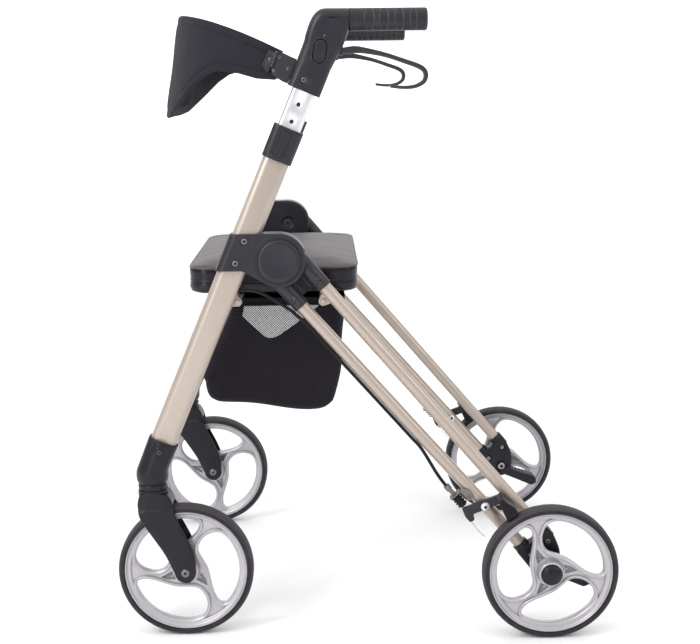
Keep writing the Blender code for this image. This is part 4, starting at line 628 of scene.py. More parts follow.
def cloth_finishes():
    """Leatherette of the seat, woven cloth of bag and strap, net, webbing and thread."""
    vinyl = Finish("seat_vinyl", (0.0070, 0.0056, 0.0092), 0.34, Specular_IOR_Level=0.30)
    top = vinyl.mark()
    # The seat's top (its mark) is painted lighter: painted light from above.
    vinyl.tint(top, (0.086, 0.072, 0.076)).mottled(26, 0.42, 0.8, 0.04, (0.14, 0.128, 0.134), 4)
    creases = vinyl.noise(60, 4, vinyl.stretched(0.35, 1, 1))
    vinyl.bump(vinyl.cells(620, vinyl.stretched(1, 1.25, 1)), 0.00016, 0.55)
    folds = vinyl.noise(34, 2, vinyl.stretched(0.10, 1, 1))
    vinyl.bump(creases, 0.0011, 0.25)
    vinyl.bump(vinyl.map(vinyl.maths("MULTIPLY", folds, top), 0.44, 0.60), 0.0020, 0.30)
    # Folds on the top are painted lighter still: painted highlights on the folds.
    lit = vinyl.map(folds, 0.56, 0.62)
    vinyl.tint(vinyl.maths("MULTIPLY", lit, vinyl.maths("MULTIPLY", top, 0.13)), (0.15, 0.138, 0.145))
    vinyl.roughness = vinyl.map(top, 0.0, 1.0, 0.24, 0.45)
    vinyl.done()

    for name, colour, sheen, weave in (("fabric", (0.0062, 0.0048, 0.0082), 0.03, 0.45),
                                       ("strap_cloth", (0.0165, 0.0142, 0.0215), 0.02, 0.15),
                                       ("webbing", (0.0055, 0.0045, 0.0072), 0.05, 0.15)):
        cloth = Finish(name, colour, 0.78, Sheen_Weight=sheen, Sheen_Roughness=0.5, Specular_IOR_Level=0.2)
        flat = cloth.node("ShaderNodeAttribute", output="Vector", attribute_name="flat")
        warp, weft = (cloth.node("ShaderNodeTexWave", {"Vector": flat, "Scale": 330, "Distortion": 0.3},
                                 output="Fac", bands_direction=way) for way in "XY")
        cloth.bump(cloth.maths("MAXIMUM", warp, weft), 0.00018, 0.7)
        cloth.grain(48, 4, 0.0012, 0.30).grain(13, 2, 0.006, 0.5)
        slant = cloth.node("ShaderNodeMapping", {"Vector": flat, "Rotation": (0, 0, radians(45))})
        dots = cloth.node("ShaderNodeTexVoronoi", {"Vector": slant, "Scale": 330, "Randomness": 0})
        cloth.tint(cloth.map(dots, 0.30, 0.16, 0.0, weave), (0.040, 0.037, 0.046))
        cloth.mottled(18, 0.5, 0.8, 0.20, (0.022, 0.020, 0.025), 4)
        cloth.tint(cloth.mark(), (0.0045, 0.0038, 0.0055)).done()

    net = Finish("net", (0.012, 0.011, 0.014), 0.55, Sheen_Weight=0.1)
    net.grain(2400, 2, 0.00004, 0.5).mottled(40, 0.4, 0.7, 0.4, (0.025, 0.024, 0.028)).done()
    # The near-black finish listed last is painted shade: the floors of screw sockets, the wells round screws,
    # the gap round the hinge cap, the strap slot and the inside of the handle tube.
    for name, colour in (("white_thread", (0.62, 0.61, 0.60)), ("black_thread", (0.006, 0.005, 0.007)),
                         ("lining", (0.84, 0.84, 0.85)), ("bright_ring", (0.50, 0.49, 0.51)),
                         ("dark_void", (0.004, 0.004, 0.004))):
        thread = Finish(name, colour, 0.6).grain(2600, 2, 0.00004, 0.5)
        thread.mottled(300, 0.4, 0.7, 0.3, tuple(0.6 * c for c in colour))
        # The pale sheet behind the net glows: painted light standing for the light seen through the net.
        if name == "lining":
            thread.put(thread.shader.inputs["Emission Color"], (1, 1, 1, 1))
            thread.put(thread.shader.inputs["Emission Strength"], 0.45)
        thread.done()


metal_finishes()
plastic_finishes()
rubber_finishes()
cloth_finishes()


# Tubes, bars and collar

def leg_point(tube, along, side=0.0, above=0.0):
    """Point by a rear tube's centre line, whose height over the line from hub to axle grows evenly."""
    share = (along - SOCKET_END) / (LEG_LENGTH - 0.050 - SOCKET_END)
    return np.array([along, side, tube[0] + (tube[1] - tube[0]) * share + above])


def make_front_tubes():
    """Leaning tube with the lug of the front cross bar, and the grommet where the cable leaves it."""
    tube = prism(rounded_rectangle(MAST_LENGTH, MAST_DEPTH, MAST_CORNER, 10), 0.012, 0.531)
    lug = np.vstack([arc(0.024, 0.2757, 0.0065, 80, -80, 14), [(0.0118, 0.2627), (0.0118, 0.2887)]])
    both("front_tube", [tube, plate(lug, 0.0080, 0.0117, 0.0006)], "champagne", "frame", MAST)
    ring = turned([(0.0027, -0.0012), (0.0050, -0.0012), (0.0052, 0.0006), (0.0044, 0.0014),
                   (0.0030, 0.0014), (0.0027, 0.0006)], 32, "z", closed=True)
    wall = turned_points((MAST_LENGTH / 2, 0, CABLE_EXIT), MAST)
    both("cable_grommet", placed([ring], (ORIGIN, pi / 2 - CABLE_SLANT)), "rubber", "frame", (wall, LEAN))


def make_handle_tubes():
    """Sliding tube: rows round the section with its outer flat left out, and that flat with its round
    holes, each hole's edge drawn to the rim of its own cell."""
    width, face, radius = SLIDER_LENGTH - 0.011, -SLIDER_DEPTH / 2, 0.003
    section = open_side(rounded_rectangle(SLIDER_LENGTH, SLIDER_DEPTH, 0.0055, 9), width, face)
    low, high = 0.404, 0.6385
    holes = [TOP_HOLE - HOLE_PITCH * k for k in range(4, -1, -1)]
    bounds = [low] + [(a + b) / 2 for a, b in zip(holes, holes[1:])] + [high]
    side, ones = np.linspace(-1, 1, 9)[:-1], np.ones(8)
    x = np.concatenate([side, ones, -side, -ones]) * width / 2
    levels, cells = [], []
    for hole, bottom, top in zip(holes, bounds, bounds[1:]):
        levels += [hole + s * (top - hole if s > 0 else hole - bottom) for s in side]
        z = np.concatenate([-ones, side, ones, -side])
        z = np.where(z > 0, z * (top - hole), z * (hole - bottom))
        angle = np.arctan2(z, x)
        edge = np.stack([np.cos(angle), np.sin(angle)], -1)
        rows = [at_y(r * edge, face + deep) for r, deep in ((radius, 0.0016), (radius, 0.0002),
                                                            (radius + 0.0003, 0))]
        cells.append(moved(grid(rows + [at_y(np.stack([x, z], -1), face)], wrap=True), (0, 0, hole)))
    tube = grid([at_z(section, z) for z in levels + [high]])
    both("handle_tube", [tube] + cells, "silver", "handles", MAST)
    # Near-black prism inside the tube: painted shade seen through the holes.
    inner = rounded_rectangle(SLIDER_LENGTH - 0.003, SLIDER_DEPTH - 0.003, 0.004, 9)
    both("handle_tube_inside", [prism(inner, low + 0.001, high - 0.001)], "dark_void", "handles", MAST)


def make_rear_tubes():
    """Round tubes from the hub casting to the axle bracket; the lower is flattened at the brake's bolt."""
    along = np.linspace(0.034, LEG_LENGTH - 0.030, 120)
    ring = circle(TUBE_RADIUS, 40)
    for name, tube in (("upper", UPPER_TUBE), ("lower", LOWER_TUBE)):
        path = np.array([leg_point(tube, a) for a in along])
        side = ring[None, :, 0] + 0 * along[:, None]
        if name == "lower":
            near = eased(np.clip(1 - np.abs(along - BOLT_ALONG) / 0.016, 0, 1))[:, None]
            side = side + (np.clip(side, -0.0078, 0.0078) - side) * near
        shapes = [grid(path[:, None] + np.stack([0 * side, side, ring[None, :, 1] + 0 * side], -1),
                       wrap=True, caps=True)]
        if name == "upper":
            x, _, z = turned_points(REAR_BAR - HUB * (1, 0, 1), (ORIGIN, -DIP))
            wall = leg_point(tube, x)[2] - TUBE_RADIUS / 2
            tab = np.vstack([arc(x, z, 0.0065, 190, 350, 18), [(x + 0.0117, wall), (x - 0.0117, wall)]])
            shapes.append(plate(tab, 0.0045, 0.0085, 0.0006))
        both(f"rear_{name}_tube", shapes, "champagne", "rear_frame", LEG)


def make_cross_bars():
    """Round bars with a screw at each end: half a profile from the middle outwards, and its mirror image."""
    for name, centre, face, body in (("front_cross_bar", FRONT_BAR, 0.2383, "frame"),
                                     ("rear_cross_bar", REAR_BAR, 0.2415, "rear_frame")):
        reach = face + 0.0043
        half = [(BAR_RADIUS, 0), (BAR_RADIUS, face - 0.0012), (BAR_RADIUS - 0.0009, face - 0.0003),
                (0.003, face - 0.0003), (0.003, reach), (0.0042, reach), (0.0042, reach + 0.0012),
                (0.0034, reach + 0.002), (0.0, reach + 0.002)]
        profile = [(r, -h) for r, h in half[:0:-1]] + half
        piece(name, [moved(turned(profile, 40), centre)], "champagne", body)


def make_collars():
    """Clamp sleeve: rows round its section, its outer flat with a pocket, and the rings of its ends."""
    low, high, edge = 0.4857, 0.5337, 0.0008
    length, depth = 0.0437, 0.0324
    width, face = length - 0.020, -depth / 2
    section = rounded_rectangle(length, depth, 0.010, 10)
    inner = inward(section)
    up = np.linspace(low + edge, high - edge, 8)
    shapes = [grid([at_z(open_side(section, width, face), z) for z in up])]
    middle = (low + high) / 2
    level = np.linspace(-width / 2, width / 2, 6)
    border = np.array([(x, up[0]) for x in level[:-1]] + [(level[-1], z) for z in up[:-1]]
                      + [(x, up[-1]) for x in level[:0:-1]] + [(level[0], z) for z in up[:0:-1]])
    pocket = rounded_rectangle(0.0137, 0.038, 0.003) + (0, middle)
    shapes += pocketed_face(border, [(pocket, 0.003)], face, -1)
    for end, sign, mouth in ((low, 1, rounded_rectangle(0.0391, 0.0246, 0.0078, 10)),
                             (high, -1, rounded_rectangle(0.0342, 0.0196, 0.006, 10))):
        rows = [at_z(section + edge * (1 - cos(t)) * inner, end + sign * edge * (1 - sin(t)))
                for t in np.linspace(0, pi / 2, 4)]
        shapes.append(grid(rows + [at_z(mouth, end), at_z(mouth, end + sign * 0.004)], wrap=True))
    both("height_collar", shapes, "black_plastic", "frame", MAST)
    button = plate(rounded_rectangle(0.0131, 0.0374, 0.0027) + (0, middle), -0.0174, -0.0149, 0.0009)
    both("height_button", [button], "black_plastic", "height_button_{}", MAST)


# Handle housing, grip and lever

def make_housings():
    """Elbow lofted between its front and back curves, flat outside with button, slit and screw pockets."""
    start, w, face = HOUSING_START, 0.0242, -0.017

    def mast_point(x, z):
        return turned_points((x - STEM[0], 0, z - MAST_FOOT_Z), (ORIGIN, -LEAN))[[0, 2]]

    top, bottom = mast_point(GRIP_START[0], GRIP_TOP), mast_point(GRIP_START[0], GRIP_BOTTOM)
    bend = mast_point(GRIP_START[0] - 0.029, GRIP_TOP)
    front = np.vstack([[(-w, start), (-w - 0.0004, start + 0.02)],
                       bezier((-w - 0.0015, start + 0.062), (-w - 0.006, start + 0.092),
                              bend - (0.017, 0.006), bend), [top]])
    back = np.vstack([[(w - 0.0008, start), (w - 0.0009, start + 0.020)],
                      bezier(bottom, bottom + (0.002, -0.012), (w + 0.001, start + 0.062),
                             (w - 0.001, start + 0.040))[::-1]])
    rows = 70
    front, back = smooth(front, rows), smooth(back, rows)
    share = np.linspace(0, 1, rows)
    late = ramp(share, 0.72, 0.28) ** 1.5
    rear = (0.0070 + 0.0030 * np.sin(pi * ramp(share, 0.25, 0.45)) ** 2) * (1 - late) + 0.0154 * late
    fore = (0.0098 + 0.0028 * ramp(share, 0, 0.25)) * (1 - late) + 0.0154 * late
    loft = []
    for a, b, behind, ahead in zip(front, back, rear, fore):
        half = np.linalg.norm(a - b) / 2
        behind, ahead = min(behind, half - 0.0002), min(ahead, half - 0.0002)
        section = rounded_rectangle(2 * half, -2 * face, (behind, ahead, ahead, behind), 10)
        section = open_side(section, 2 * (half - behind), face)
        line = (a + b) / 2 + section[:, :1] * (b - a) / (2 * half)
        loft.append(np.stack([line[:, 0], section[:, 1], line[:, 1]], -1))
    loft = np.stack(loft)
    border = np.vstack([loft[:, 0], loft[::-1, -1]])[:, [0, 2]]
    dot, screw_at = (-0.0023, 0.6691), (-0.0060, 0.6030)

    def oval(length, width):
        return turned_flat(stadium(length, width), -15, (0, start + 0.0586))

    slit = turned_flat(stadium(0.0195, 0.0014, 8), 68, (0.0018, 0.6972))
    pockets = [(oval(0.0334, 0.0192), 0.003), (slit, 0.0016), (circle(0.0014, 16) + dot, 0.0014),
               (circle(0.0056, 40) + screw_at, 0.0016)]
    shapes = [grid(loft)] + pocketed_face(border, pockets, face, -1)
    shapes += [(end, [list(range(len(end)))]) for end in (loft[0], loft[-1])]
    shapes.append(collar_ring((screw_at[0], face, screw_at[1]), 0.0060, 0.0076, 0.0005))
    shapes.append(swept(at_y(oval(0.0350, 0.0208), face), circle(0.0006, 8), loop=True))
    both("handle_housing", shapes, "black_plastic", "handles", MAST)
    head = ((screw_at[0], -0.0156, screw_at[1]), 0.0036, 0.0012, -1, 0.55)
    socketed("housing_screw", [head], MAST, "handles")
    both("housing_dot", [rod((dot[0], -0.0160, dot[1]), (dot[0], -0.0172, dot[1]), 0.0010, 0.0003, 12)],
         "steel", "handles", MAST)
    button = plate(oval(0.0316, 0.0174), -0.0182, -0.0157, 0.0016)
    both("housing_button", [button], "black_plastic", "housing_button_{}", MAST)


def make_grips():
    """Sleeve with pairs of curved ribs: a ridge on each oval ((x - c) / a)^2 + (angle / b)^2 = 1."""
    x = np.concatenate([[0, 0.0003, 0.0010], np.linspace(0.0016, 0.1040, 300),
                        [0.1056, 0.1072, 0.1082, 0.1086, 0.1086]])
    radius = np.concatenate([[0.0125, 0.0150, 0.0156], np.full(300, GRIP_RADIUS),
                             [0.0155, 0.0149, 0.0137, 0.0118, 0.0]])
    radius += np.where((x > 0.001) & (x < 0.0034), 0.0004, 0)
    radius += np.where((x > 0.1035) & (x < 0.1048), 0.0003, 0)
    angle = np.linspace(0, 2 * pi, 120, endpoint=False)
    ridge = np.zeros((len(x), len(angle)))
    for centre, half in ((0.0286, 0.0069), (0.0486, 0.0062), (0.0695, 0.0062), (0.0890, 0.0046)):
        for side in (0, pi):
            around = (angle - side + pi) % (2 * pi) - pi
            from_rib = np.hypot((x[:, None] - centre) / half, around[None] / 1.15) - 1
            ridge = np.maximum(ridge, np.exp(-(from_rib * half / 0.0007) ** 2))
    ridge = ridge * (radius[:, None] > 0.014)
    r = radius[:, None] + 0.00080 * ridge
    sleeve = grid(np.stack([x[:, None] + 0 * r, r * np.cos(angle), r * np.sin(angle)], -1), wrap=True)
    # The ridge also paints the ribs lighter through the mark attribute: a painted highlight.
    both("grip", [moved(sleeve, GRIP_START)], "grip", "handles", values={"mark": ridge.ravel()})


def make_levers():
    """Hooked blade: a line of x, z and width drawn out to both sides, closed round the pivot's eye."""
    line = smooth([(0.010, 0.0005, 0.0100), (0.022, 0.0015, 0.0098), (0.038, -0.0005, 0.0080),
                   (0.064, -0.0063, 0.0064), (0.090, -0.0150, 0.0064), (0.108, -0.0215, 0.0068),
                   (0.1165, -0.0272, 0.0068), (0.1190, -0.0350, 0.0066), (0.1155, -0.0433, 0.0060),
                   (0.1040, -0.0492, 0.0053), (0.0880, -0.0506, 0.0048), (0.0700, -0.0488, 0.0044)], 90)
    line, width = line[:, :2], line[:, 2:]
    along, left = directions(line)
    outline = np.vstack([line + left * width / 2, line[-1:] + 0.0012 * along[-1:],
                         (line - left * width / 2)[::-1], arc(0, 0, 0.0068, -40, -320)])
    both("brake_lever", [plate(outline, -0.006, 0.006, 0.0019)], "black_steel", "brake_lever_{}",
         (LEVER_PIVOT, 0.0))


# Hub and rear leg castings

def make_brackets():
    """Two side plates and a roof over the hub, joined by the round-cornered sleeve on the front tube."""
    axis_x, lean = -HUB_BEHIND_MAST / cos(LEAN), tan(LEAN)
    top, bottom = 0.0388, -0.0135
    disc = arc(0, 0, 0.038, 90, -130, 60)
    curve = bezier(disc[-1], (-0.0325, -0.0265), (-0.044, -0.0155), (-0.056, bottom))
    front = np.linspace((axis_x + bottom * lean, bottom + 0.0004), (axis_x + top * lean, top - 0.0004), 24)
    outline = np.vstack([disc, curve[1:], front, np.linspace(front[-1], disc[0], 20)[1:-1]])
    outline = relaxed(resample(outline, 220, closed=True))
    shapes = [plate(outline, -0.0170, -0.0123, 0.0030, 0.0, steps=6),
              plate(outline, 0.0170, 0.0123, 0.0030, 0.0, steps=6, pockets=[(circle(0.0118, 40), 0.0008)])]
    section = rounded_rectangle(0.0446 / cos(LEAN), 0.0370, (0.0150, 0.0118, 0.0118, 0.0150), 14)
    inner = inward(section)
    bore = rounded_rectangle((MAST_LENGTH - 0.001) / cos(LEAN), MAST_DEPTH - 0.001, MAST_CORNER, 14)
    edge = [(0.0040, 0), (0.0012, 0), (0.0003, 0.0004), (0.0, 0.0012)]
    levels = [(section + drawn * inner, bottom + h) for drawn, h in edge]
    levels += [(section, z) for z in np.linspace(bottom + 0.003, top - 0.003, 12)]
    levels += [(section + drawn * inner, top - h) for drawn, h in edge[::-1]]
    levels += [(bore, top - 0.0001), (bore, bottom + 0.0001)]
    shapes.append(grid([at_z(ring + (axis_x + z * lean, 0), z) for ring, z in levels], wrap=True, loop=True))
    roof = np.vstack([[(-0.0212, top - 0.0002), (-0.0216, top - 0.0026)], arc(0, 0, 0.0354, 90, 24),
                      arc(0, 0, 0.0388, 24, 90)])
    shapes.append(plate(roof, -0.0150, 0.0165, 0.0008))
    screws = [(x, z, side) for x, z in ((-0.0479, 0.0290), (-0.0614, -0.0022)) for side in (-1, 1)]
    shapes += [collar_ring((x, side * 0.0184, z), 0.0062, 0.0082, 0.0008, side) for x, z, side in screws]
    shapes += [collar_ring((0, -0.0169, 0), r - 0.0008, r + 0.0008, high)
               for r, high in ((0.0334, 0.0005), (0.0362, 0.0004))]
    both("hinge_bracket", shapes, "black_plastic", "frame", HUB_PLACE)
    heads = [((x, side * 0.0181, z), 0.0042, 0.0016, side, 0.56) for x, z, side in screws]
    socketed("bracket_screws", heads, HUB_PLACE, "frame")
    # Dark discs round the screws: painted shade in their wells.
    wells = [rod((x, side * 0.0180, z), (x, side * 0.01862, z), 0.0062, 0.0001, 28) for x, z, side in screws]
    both("bracket_screw_wells", wells, "dark_void", "frame", HUB_PLACE)
    face, high = 0.0168, 0.0216
    cap = turned([(0, -high), (0.0224, -high), (0.0236, -high - 0.0003), (0.0262, -high - 0.0003),
                  (0.0286, -high + 0.0003), (0.0302, -high + 0.0016), (0.0308, -high + 0.0032),
                  (0.0310, -face), (0, -face)], 96)
    both("hinge_cap", [cap], "black_plastic", "frame", HUB_PLACE)
    # Dark ring in the gap round the cap: painted shade.
    groove = turned([(0.0310, -0.0176), (0.0310, -0.0166), (0.0324, -0.0166), (0.0324, -0.0172)], 96,
                    closed=True)
    both("hinge_cap_gap", [groove], "dark_void", "frame", HUB_PLACE)
    pin = [rod((0, -face, 0), (0, 0.0170, 0), 0.005),
           turned([(0, 0.0166), (0.0072, 0.0166), (0.0078, 0.0172), (0.0074, 0.0180), (0, 0.0180)], 40)]
    socketed("hinge_pin", [((0, 0.0168, 0), 0.0056, 0.0030, 1, 0.5)], HUB_PLACE, "frame", "black_steel", pin)


def make_leg_sockets():
    """Hub disc with two sleeves for the rear tubes and a thin web between them."""
    low, high = LOWER_TUBE[0], UPPER_TUBE[0]
    notch = [(0.016, low - 0.0112), (0.022, low - 0.004), (0.030, 0.002), (0.022, high + 0.004),
             (0.016, high + 0.0112)]
    outline = np.vstack([arc(0, 0, 0.0312, 60, 300, 90), notch])
    shapes = [plate(resample(outline, 160, closed=True), -0.0118, 0.0118, 0.0014)]
    mouth = softened([(0.012, low), (0.0655, low), (0.060, low + 0.012), (0.060, high - 0.012),
                      (0.0655, high), (0.012, high)], [0.001, 0.001, 0.010, 0.010, 0.001, 0.001])
    both("leg_socket_web", [plate(mouth, -0.005, 0.005, 0.0008)], "rubber", "rear_frame", LEG)
    shapes += [rod((0.030, -0.0046, h), (0.0590, -0.0046, h), 0.0009, 0.0003, 10)
               for h in (low + 0.0150, high - 0.0150)]
    cup = turned([(0.0002, -0.0114), (0.0042, -0.0114), (0.0043, -0.0121), (0.0050, -0.0125),
                  (0.0060, -0.0120), (0.0066, -0.0096), (0.0002, -0.0096)], 32, closed=True)
    heads, wells = [], []
    for tube in (LOWER_TUBE, UPPER_TUBE):
        x, _, z = leg_point(tube, 0.058)
        shapes += [barrel(leg_point(tube, 0.014), leg_point(tube, SOCKET_END), 0.0096, 0.0117, 0.0013),
                   moved(cup, (x, 0, z))]
        heads.append(((x, -0.0113, z), 0.0033, 0.0012, -1, 0.55))
        wells.append(rod((x, -0.0110, z), (x, -0.01155, z), 0.0042, 0.0001, 24))
    both("leg_socket", shapes, "black_plastic", "rear_frame", LEG)
    socketed("socket_screws", heads, LEG, "rear_frame", "black_steel")
    # Dark discs round the screws: painted shade in their wells.
    both("socket_screw_wells", wells, "dark_void", "rear_frame", LEG)


def make_axle_brackets():
    """Foot casting: rounded body with stepped sockets inside, two sleeves, the axle boss and the pedal."""
    low, high = (leg_point(tube, LEG_LENGTH - 0.050)[2] for tube in (LOWER_TUBE, UPPER_TUBE))
    back = smooth([(-0.030, low - 0.0118), (-0.006, -0.0228), (0.008, -0.0185), (0.0165, -0.009),
                   (0.0175, 0.004), (0.010, 0.016), (-0.003, 0.0275), (-0.018, 0.0335),
                   (-0.032, high + 0.0118)], 90)
    outline = np.vstack([back, [(-0.044, high + 0.0112), (-0.046, high), (-0.040, 0.006), (-0.044, low),
                                (-0.043, low - 0.0112)]])
    screws = [(-0.027, high - 0.0015), (-0.027, low + 0.0020)]
    sockets = [(rounded_rectangle(0.014, 0.011, 0.003) + at, 0.0022) for at in screws]
    shapes = [plate(resample(softened(outline, 0.0012), 200, closed=True), -0.012, 0.012, 0.0030,
                    far_pockets=sockets + [(circle(0.0108, 40), 0.0016)])]
    shapes += [barrel(leg_point(tube, LEG_LENGTH - 0.050) - (LEG_LENGTH, 0, 0),
                      leg_point(tube, LEG_LENGTH - 0.026) - (LEG_LENGTH, 0, 0), 0.0096, 0.0118, 0.0012)
               for tube in (LOWER_TUBE, UPPER_TUBE)]
    shapes.append(turned([(0.0061, 0.0), (0.0125, 0.0), (0.0125, -0.0205), (0.0118, -0.0216),
                          (0.0061, -0.0218)], 48, closed=True))
    pedal = np.vstack([[(0.004, -0.012), (0.035, 0.004), (0.064, 0.0185)],
                       arc(0.0600, 0.0248, 0.0062, -40, 90, 12),
                       [(0.050, 0.0290), (0.030, 0.0165), (0.006, 0.0080)]])
    shapes.append(plate(resample(softened(pedal, 0.002), 120, closed=True), -0.0115, 0.016, 0.0026))
    both("axle_bracket", shapes, "foot_plastic", "rear_frame", FOOT)
    line = smooth([(0.020, 0.0118), (0.030, 0.0172), (0.050, 0.0297), (0.0585, 0.0318), (0.0640, 0.0300),
                   (0.0668, 0.0262)], 150)
    _, up = directions(line)
    ribs = 0.0004 + 0.0010 * np.clip(np.sin(17 * pi * np.linspace(0, 1, 150)), 0, 1)[:, None] ** 0.6
    pad = np.vstack([line + up * ribs, (line - 0.0012 * up)[::-1]])
    both("pedal_pad", [plate(pad, -0.0098, 0.0143, 0.0005)], "grip", "rear_frame", FOOT)
    squares = [plate(rounded_rectangle(0.0058, 0.0058, 0.0006, 4) + at, 0.0125, 0.0098, 0.0004,
                     pockets=[(circle(0.0019, 16) + at, 0.0015)]) for at in screws]
    both("socket_squares", squares, "steel", "rear_frame", FOOT)
    heads = [((x, -0.0118, z), 0.0036, 0.0014, -1, 0.5) for x, z in screws[::-1]]
    socketed("bracket_side_screws", heads, FOOT, "rear_frame")


def make_rear_axles():
    """Domed cap outside the wheel and the bolt through to the inner side of the bracket."""
    cap, place = 0.0158, (REAR_AXLE, 0.0)
    dome = [(0.0152 * cos(a), -cap - 0.0018 - 0.0072 * sin(a)) for a in np.linspace(pi / 2, 0, 14)]
    both("rear_axle", [turned(dome + [(0.0152, -cap), (0.0, -cap)])], "foot_plastic", "rear_frame", place)
    ring = turned([(0.0153, -0.0157), (0.0164, -0.0168), (0.0173, -0.0165), (0.0176, -0.0156),
                   (0.0165, -0.0150)], closed=True)
    both("axle_ring", [ring], "bright_ring", "rear_frame", place)
    socketed("rear_axle_bolt", [((0, 0.0484, 0), 0.0070, 0.0042, 1, 0.5)], place, "rear_frame", "steel",
             [rod((0, -cap, 0), (0, 0.0490, 0), 0.006)])


# Brake and cable

def make_brakes():
    """Flat arm across the lower tube with its bolt, and the shoe, whose foot is an arc over the tyre."""
    bar = softened([(-0.0330, -0.0040), (-0.0330, 0.0095), (0.0240, 0.0090), (0.0260, -0.0040),
                    (-0.0205, -0.0045), (-0.0215, -0.0135), (-0.0290, -0.0150)], 0.0025)
    bar = plate(resample(bar, 140, closed=True), -0.0168, -0.0098, 0.0010)
    body = "brake_arm_{}"
    both("brake_arm", [bar], "black_plastic", body, BRAKE)
    x0, _, z0 = turned_points(REAR_AXLE - BRAKE_PIVOT, (ORIGIN, -BRAKE[1]))
    x, reach = np.linspace(0.0405, 0.0220, 24), 0.1018
    back = [(0.0200, 0.0090), (0.0285, 0.0110), (0.0330, 0.0020), (0.0400, -0.0080)]
    shoe = softened(np.vstack([back, np.stack([x, z0 + np.sqrt(reach ** 2 - (x - x0) ** 2)], -1)]), 0.0012)
    shoe = plate(resample(shoe, 120, closed=True), -0.0485, -0.0108, 0.0016)
    both("brake_shoe", [shoe], "rubber", body, BRAKE)
    bolts = [turned([(0, -0.0166), (0.0060, -0.0166), (0.0064, -0.0170), (0.0064, -0.0178), (0.0058, -0.0182),
                     (0, -0.0182)], 40), rod((0, -0.0168, 0), (0, 0.0098, 0), 0.003)]
    heads = [((0, -0.0180, 0), 0.0044, 0.0022, -1, 0.62), ((0, 0.0096, 0), 0.0058, 0.0034, 1, 0.5)]
    socketed("brake_bolt", heads, BRAKE, body, "silver", bolts)


def make_cable_stops():
    """Bent flange riveted to the lower tube, the knurled adjuster, the ribbed boot and the inner wire."""
    tube = leg_point(LOWER_TUBE, STOP_ALONG)[2]
    height = tube - STOP_DROP
    flange = softened(np.array([(-0.008, -0.008), (0.008, -0.008), (0.008, 0.0105), (-0.008, 0.0105)])
                      + (STOP_SIDE, height), 0.0022)
    points, faces = plate(flange, STOP_ALONG, STOP_ALONG + 0.0019, 0.0004)
    strap = softened(np.array([(0.0005, -0.0129), (0.010, -0.012), (0.022, -0.012), (0.024, -0.002),
                               (0.010, 0.001), (0.0005, -0.006)]) + (STOP_ALONG, tube), 0.002)
    knurl = 0.0046 + 0.00025 * np.cos(np.linspace(0, 8 * pi, 41))
    profile = [(0.0028, -0.004), (0.0044, -0.004), *zip(knurl, np.linspace(-0.0032, 0.0040, 41)),
               (0.0036, 0.0050), (0.0034, 0.0155), (0.0016, 0.0155), (0.0016, 0.004), (0.0028, 0.004)]
    adjuster = moved(turned(profile, 40, "x", closed=True), (STOP_ALONG - 0.0145, STOP_SIDE, height))
    both("cable_stop", [(points[:, [1, 0, 2]], faces), plate(strap, -0.0117, -0.0098, 0.0005),
                        screw((STOP_ALONG + 0.0165, -0.0115, tube - 0.007), 0.0033, 0.0016), adjuster],
         "dull_steel", "rear_frame", LEG)
    length = 0.0195
    at = np.linspace(0, length, 97)
    ribs = 0.0067 + 0.0009 * np.cos(2 * pi * (at / length * 4 - 0.5))
    boot = turned([(0.0022, 0), *zip(ribs, at), (0.0022, length)], 48, "x", closed=True)
    both("spring_boot", [moved(boot, (STOP_ALONG + 0.0022, STOP_SIDE, height))], "rubber", "rear_frame", LEG)
    start = turned_points((STOP_ALONG - 0.002, STOP_SIDE, height), LEG)
    end = turned_points((WIRE_X, WIRE_Y, -0.0100), BRAKE)
    both("brake_wire", [swept(np.linspace(start, end, 6), circle(0.0008, 10))], "steel", "rear_frame")
    tail = bezier((WIRE_X, WIRE_Y, -0.0120), (-0.0262, -0.0133, -0.0220), (-0.0225, -0.0136, -0.0330),
                  (-0.0165, -0.0140, -0.0440), count=16)
    both("brake_wire_end", [swept(tail, circle(0.0005, 8))], "steel", "brake_arm_{}", BRAKE)
    clamp = rod((WIRE_X, -0.0165, -0.0110), (WIRE_X, -0.0095, -0.0110), 0.0034)
    both("wire_clamp", [clamp], "steel", "brake_arm_{}", BRAKE)


def make_cables():
    """Outer cable from the front tube's rear wall, past the hub and along the lower rear tube."""
    hole = np.array([MAST_LENGTH / 2, 0, CABLE_EXIT])
    slant = np.array([cos(CABLE_SLANT), 0, sin(CABLE_SLANT)])
    route = [turned_points(hole + d * slant, MAST) for d in (-0.012, 0.0, 0.010)]
    route += [HUB + (-0.0334, -0.003, -0.0445), HUB + (-0.0170, -0.005, -0.0517),
              HUB + (0.0006, -0.005, -0.0626), HUB + (0.0168, -0.005, -0.0740)]
    first, last = 0.100, STOP_ALONG - 0.1075
    on_leg = [leg_point(LOWER_TUBE, first + share * (last - first), -0.0045, -0.0117)
              for share in (0.0, 0.18, 0.45, 0.73, 1.0)]
    height, entry = leg_point(LOWER_TUBE, STOP_ALONG)[2] - STOP_DROP, STOP_ALONG - 0.015
    on_leg += [(entry - 0.0675, -0.0055, height + 0.0082), (entry - 0.0275, -0.0095, height + 0.0018),
               (entry - 0.008, STOP_SIDE, height), (entry + 0.0035, STOP_SIDE, height)]
    path = smooth(np.vstack([route, turned_points(on_leg, LEG)]), 260)
    cables = both("brake_cable", [swept(path, circle(CABLE_RADIUS, 20))], "rubber", None)
    for cable, side in zip(cables, (1, -1)):
        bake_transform(cable)


# Casters

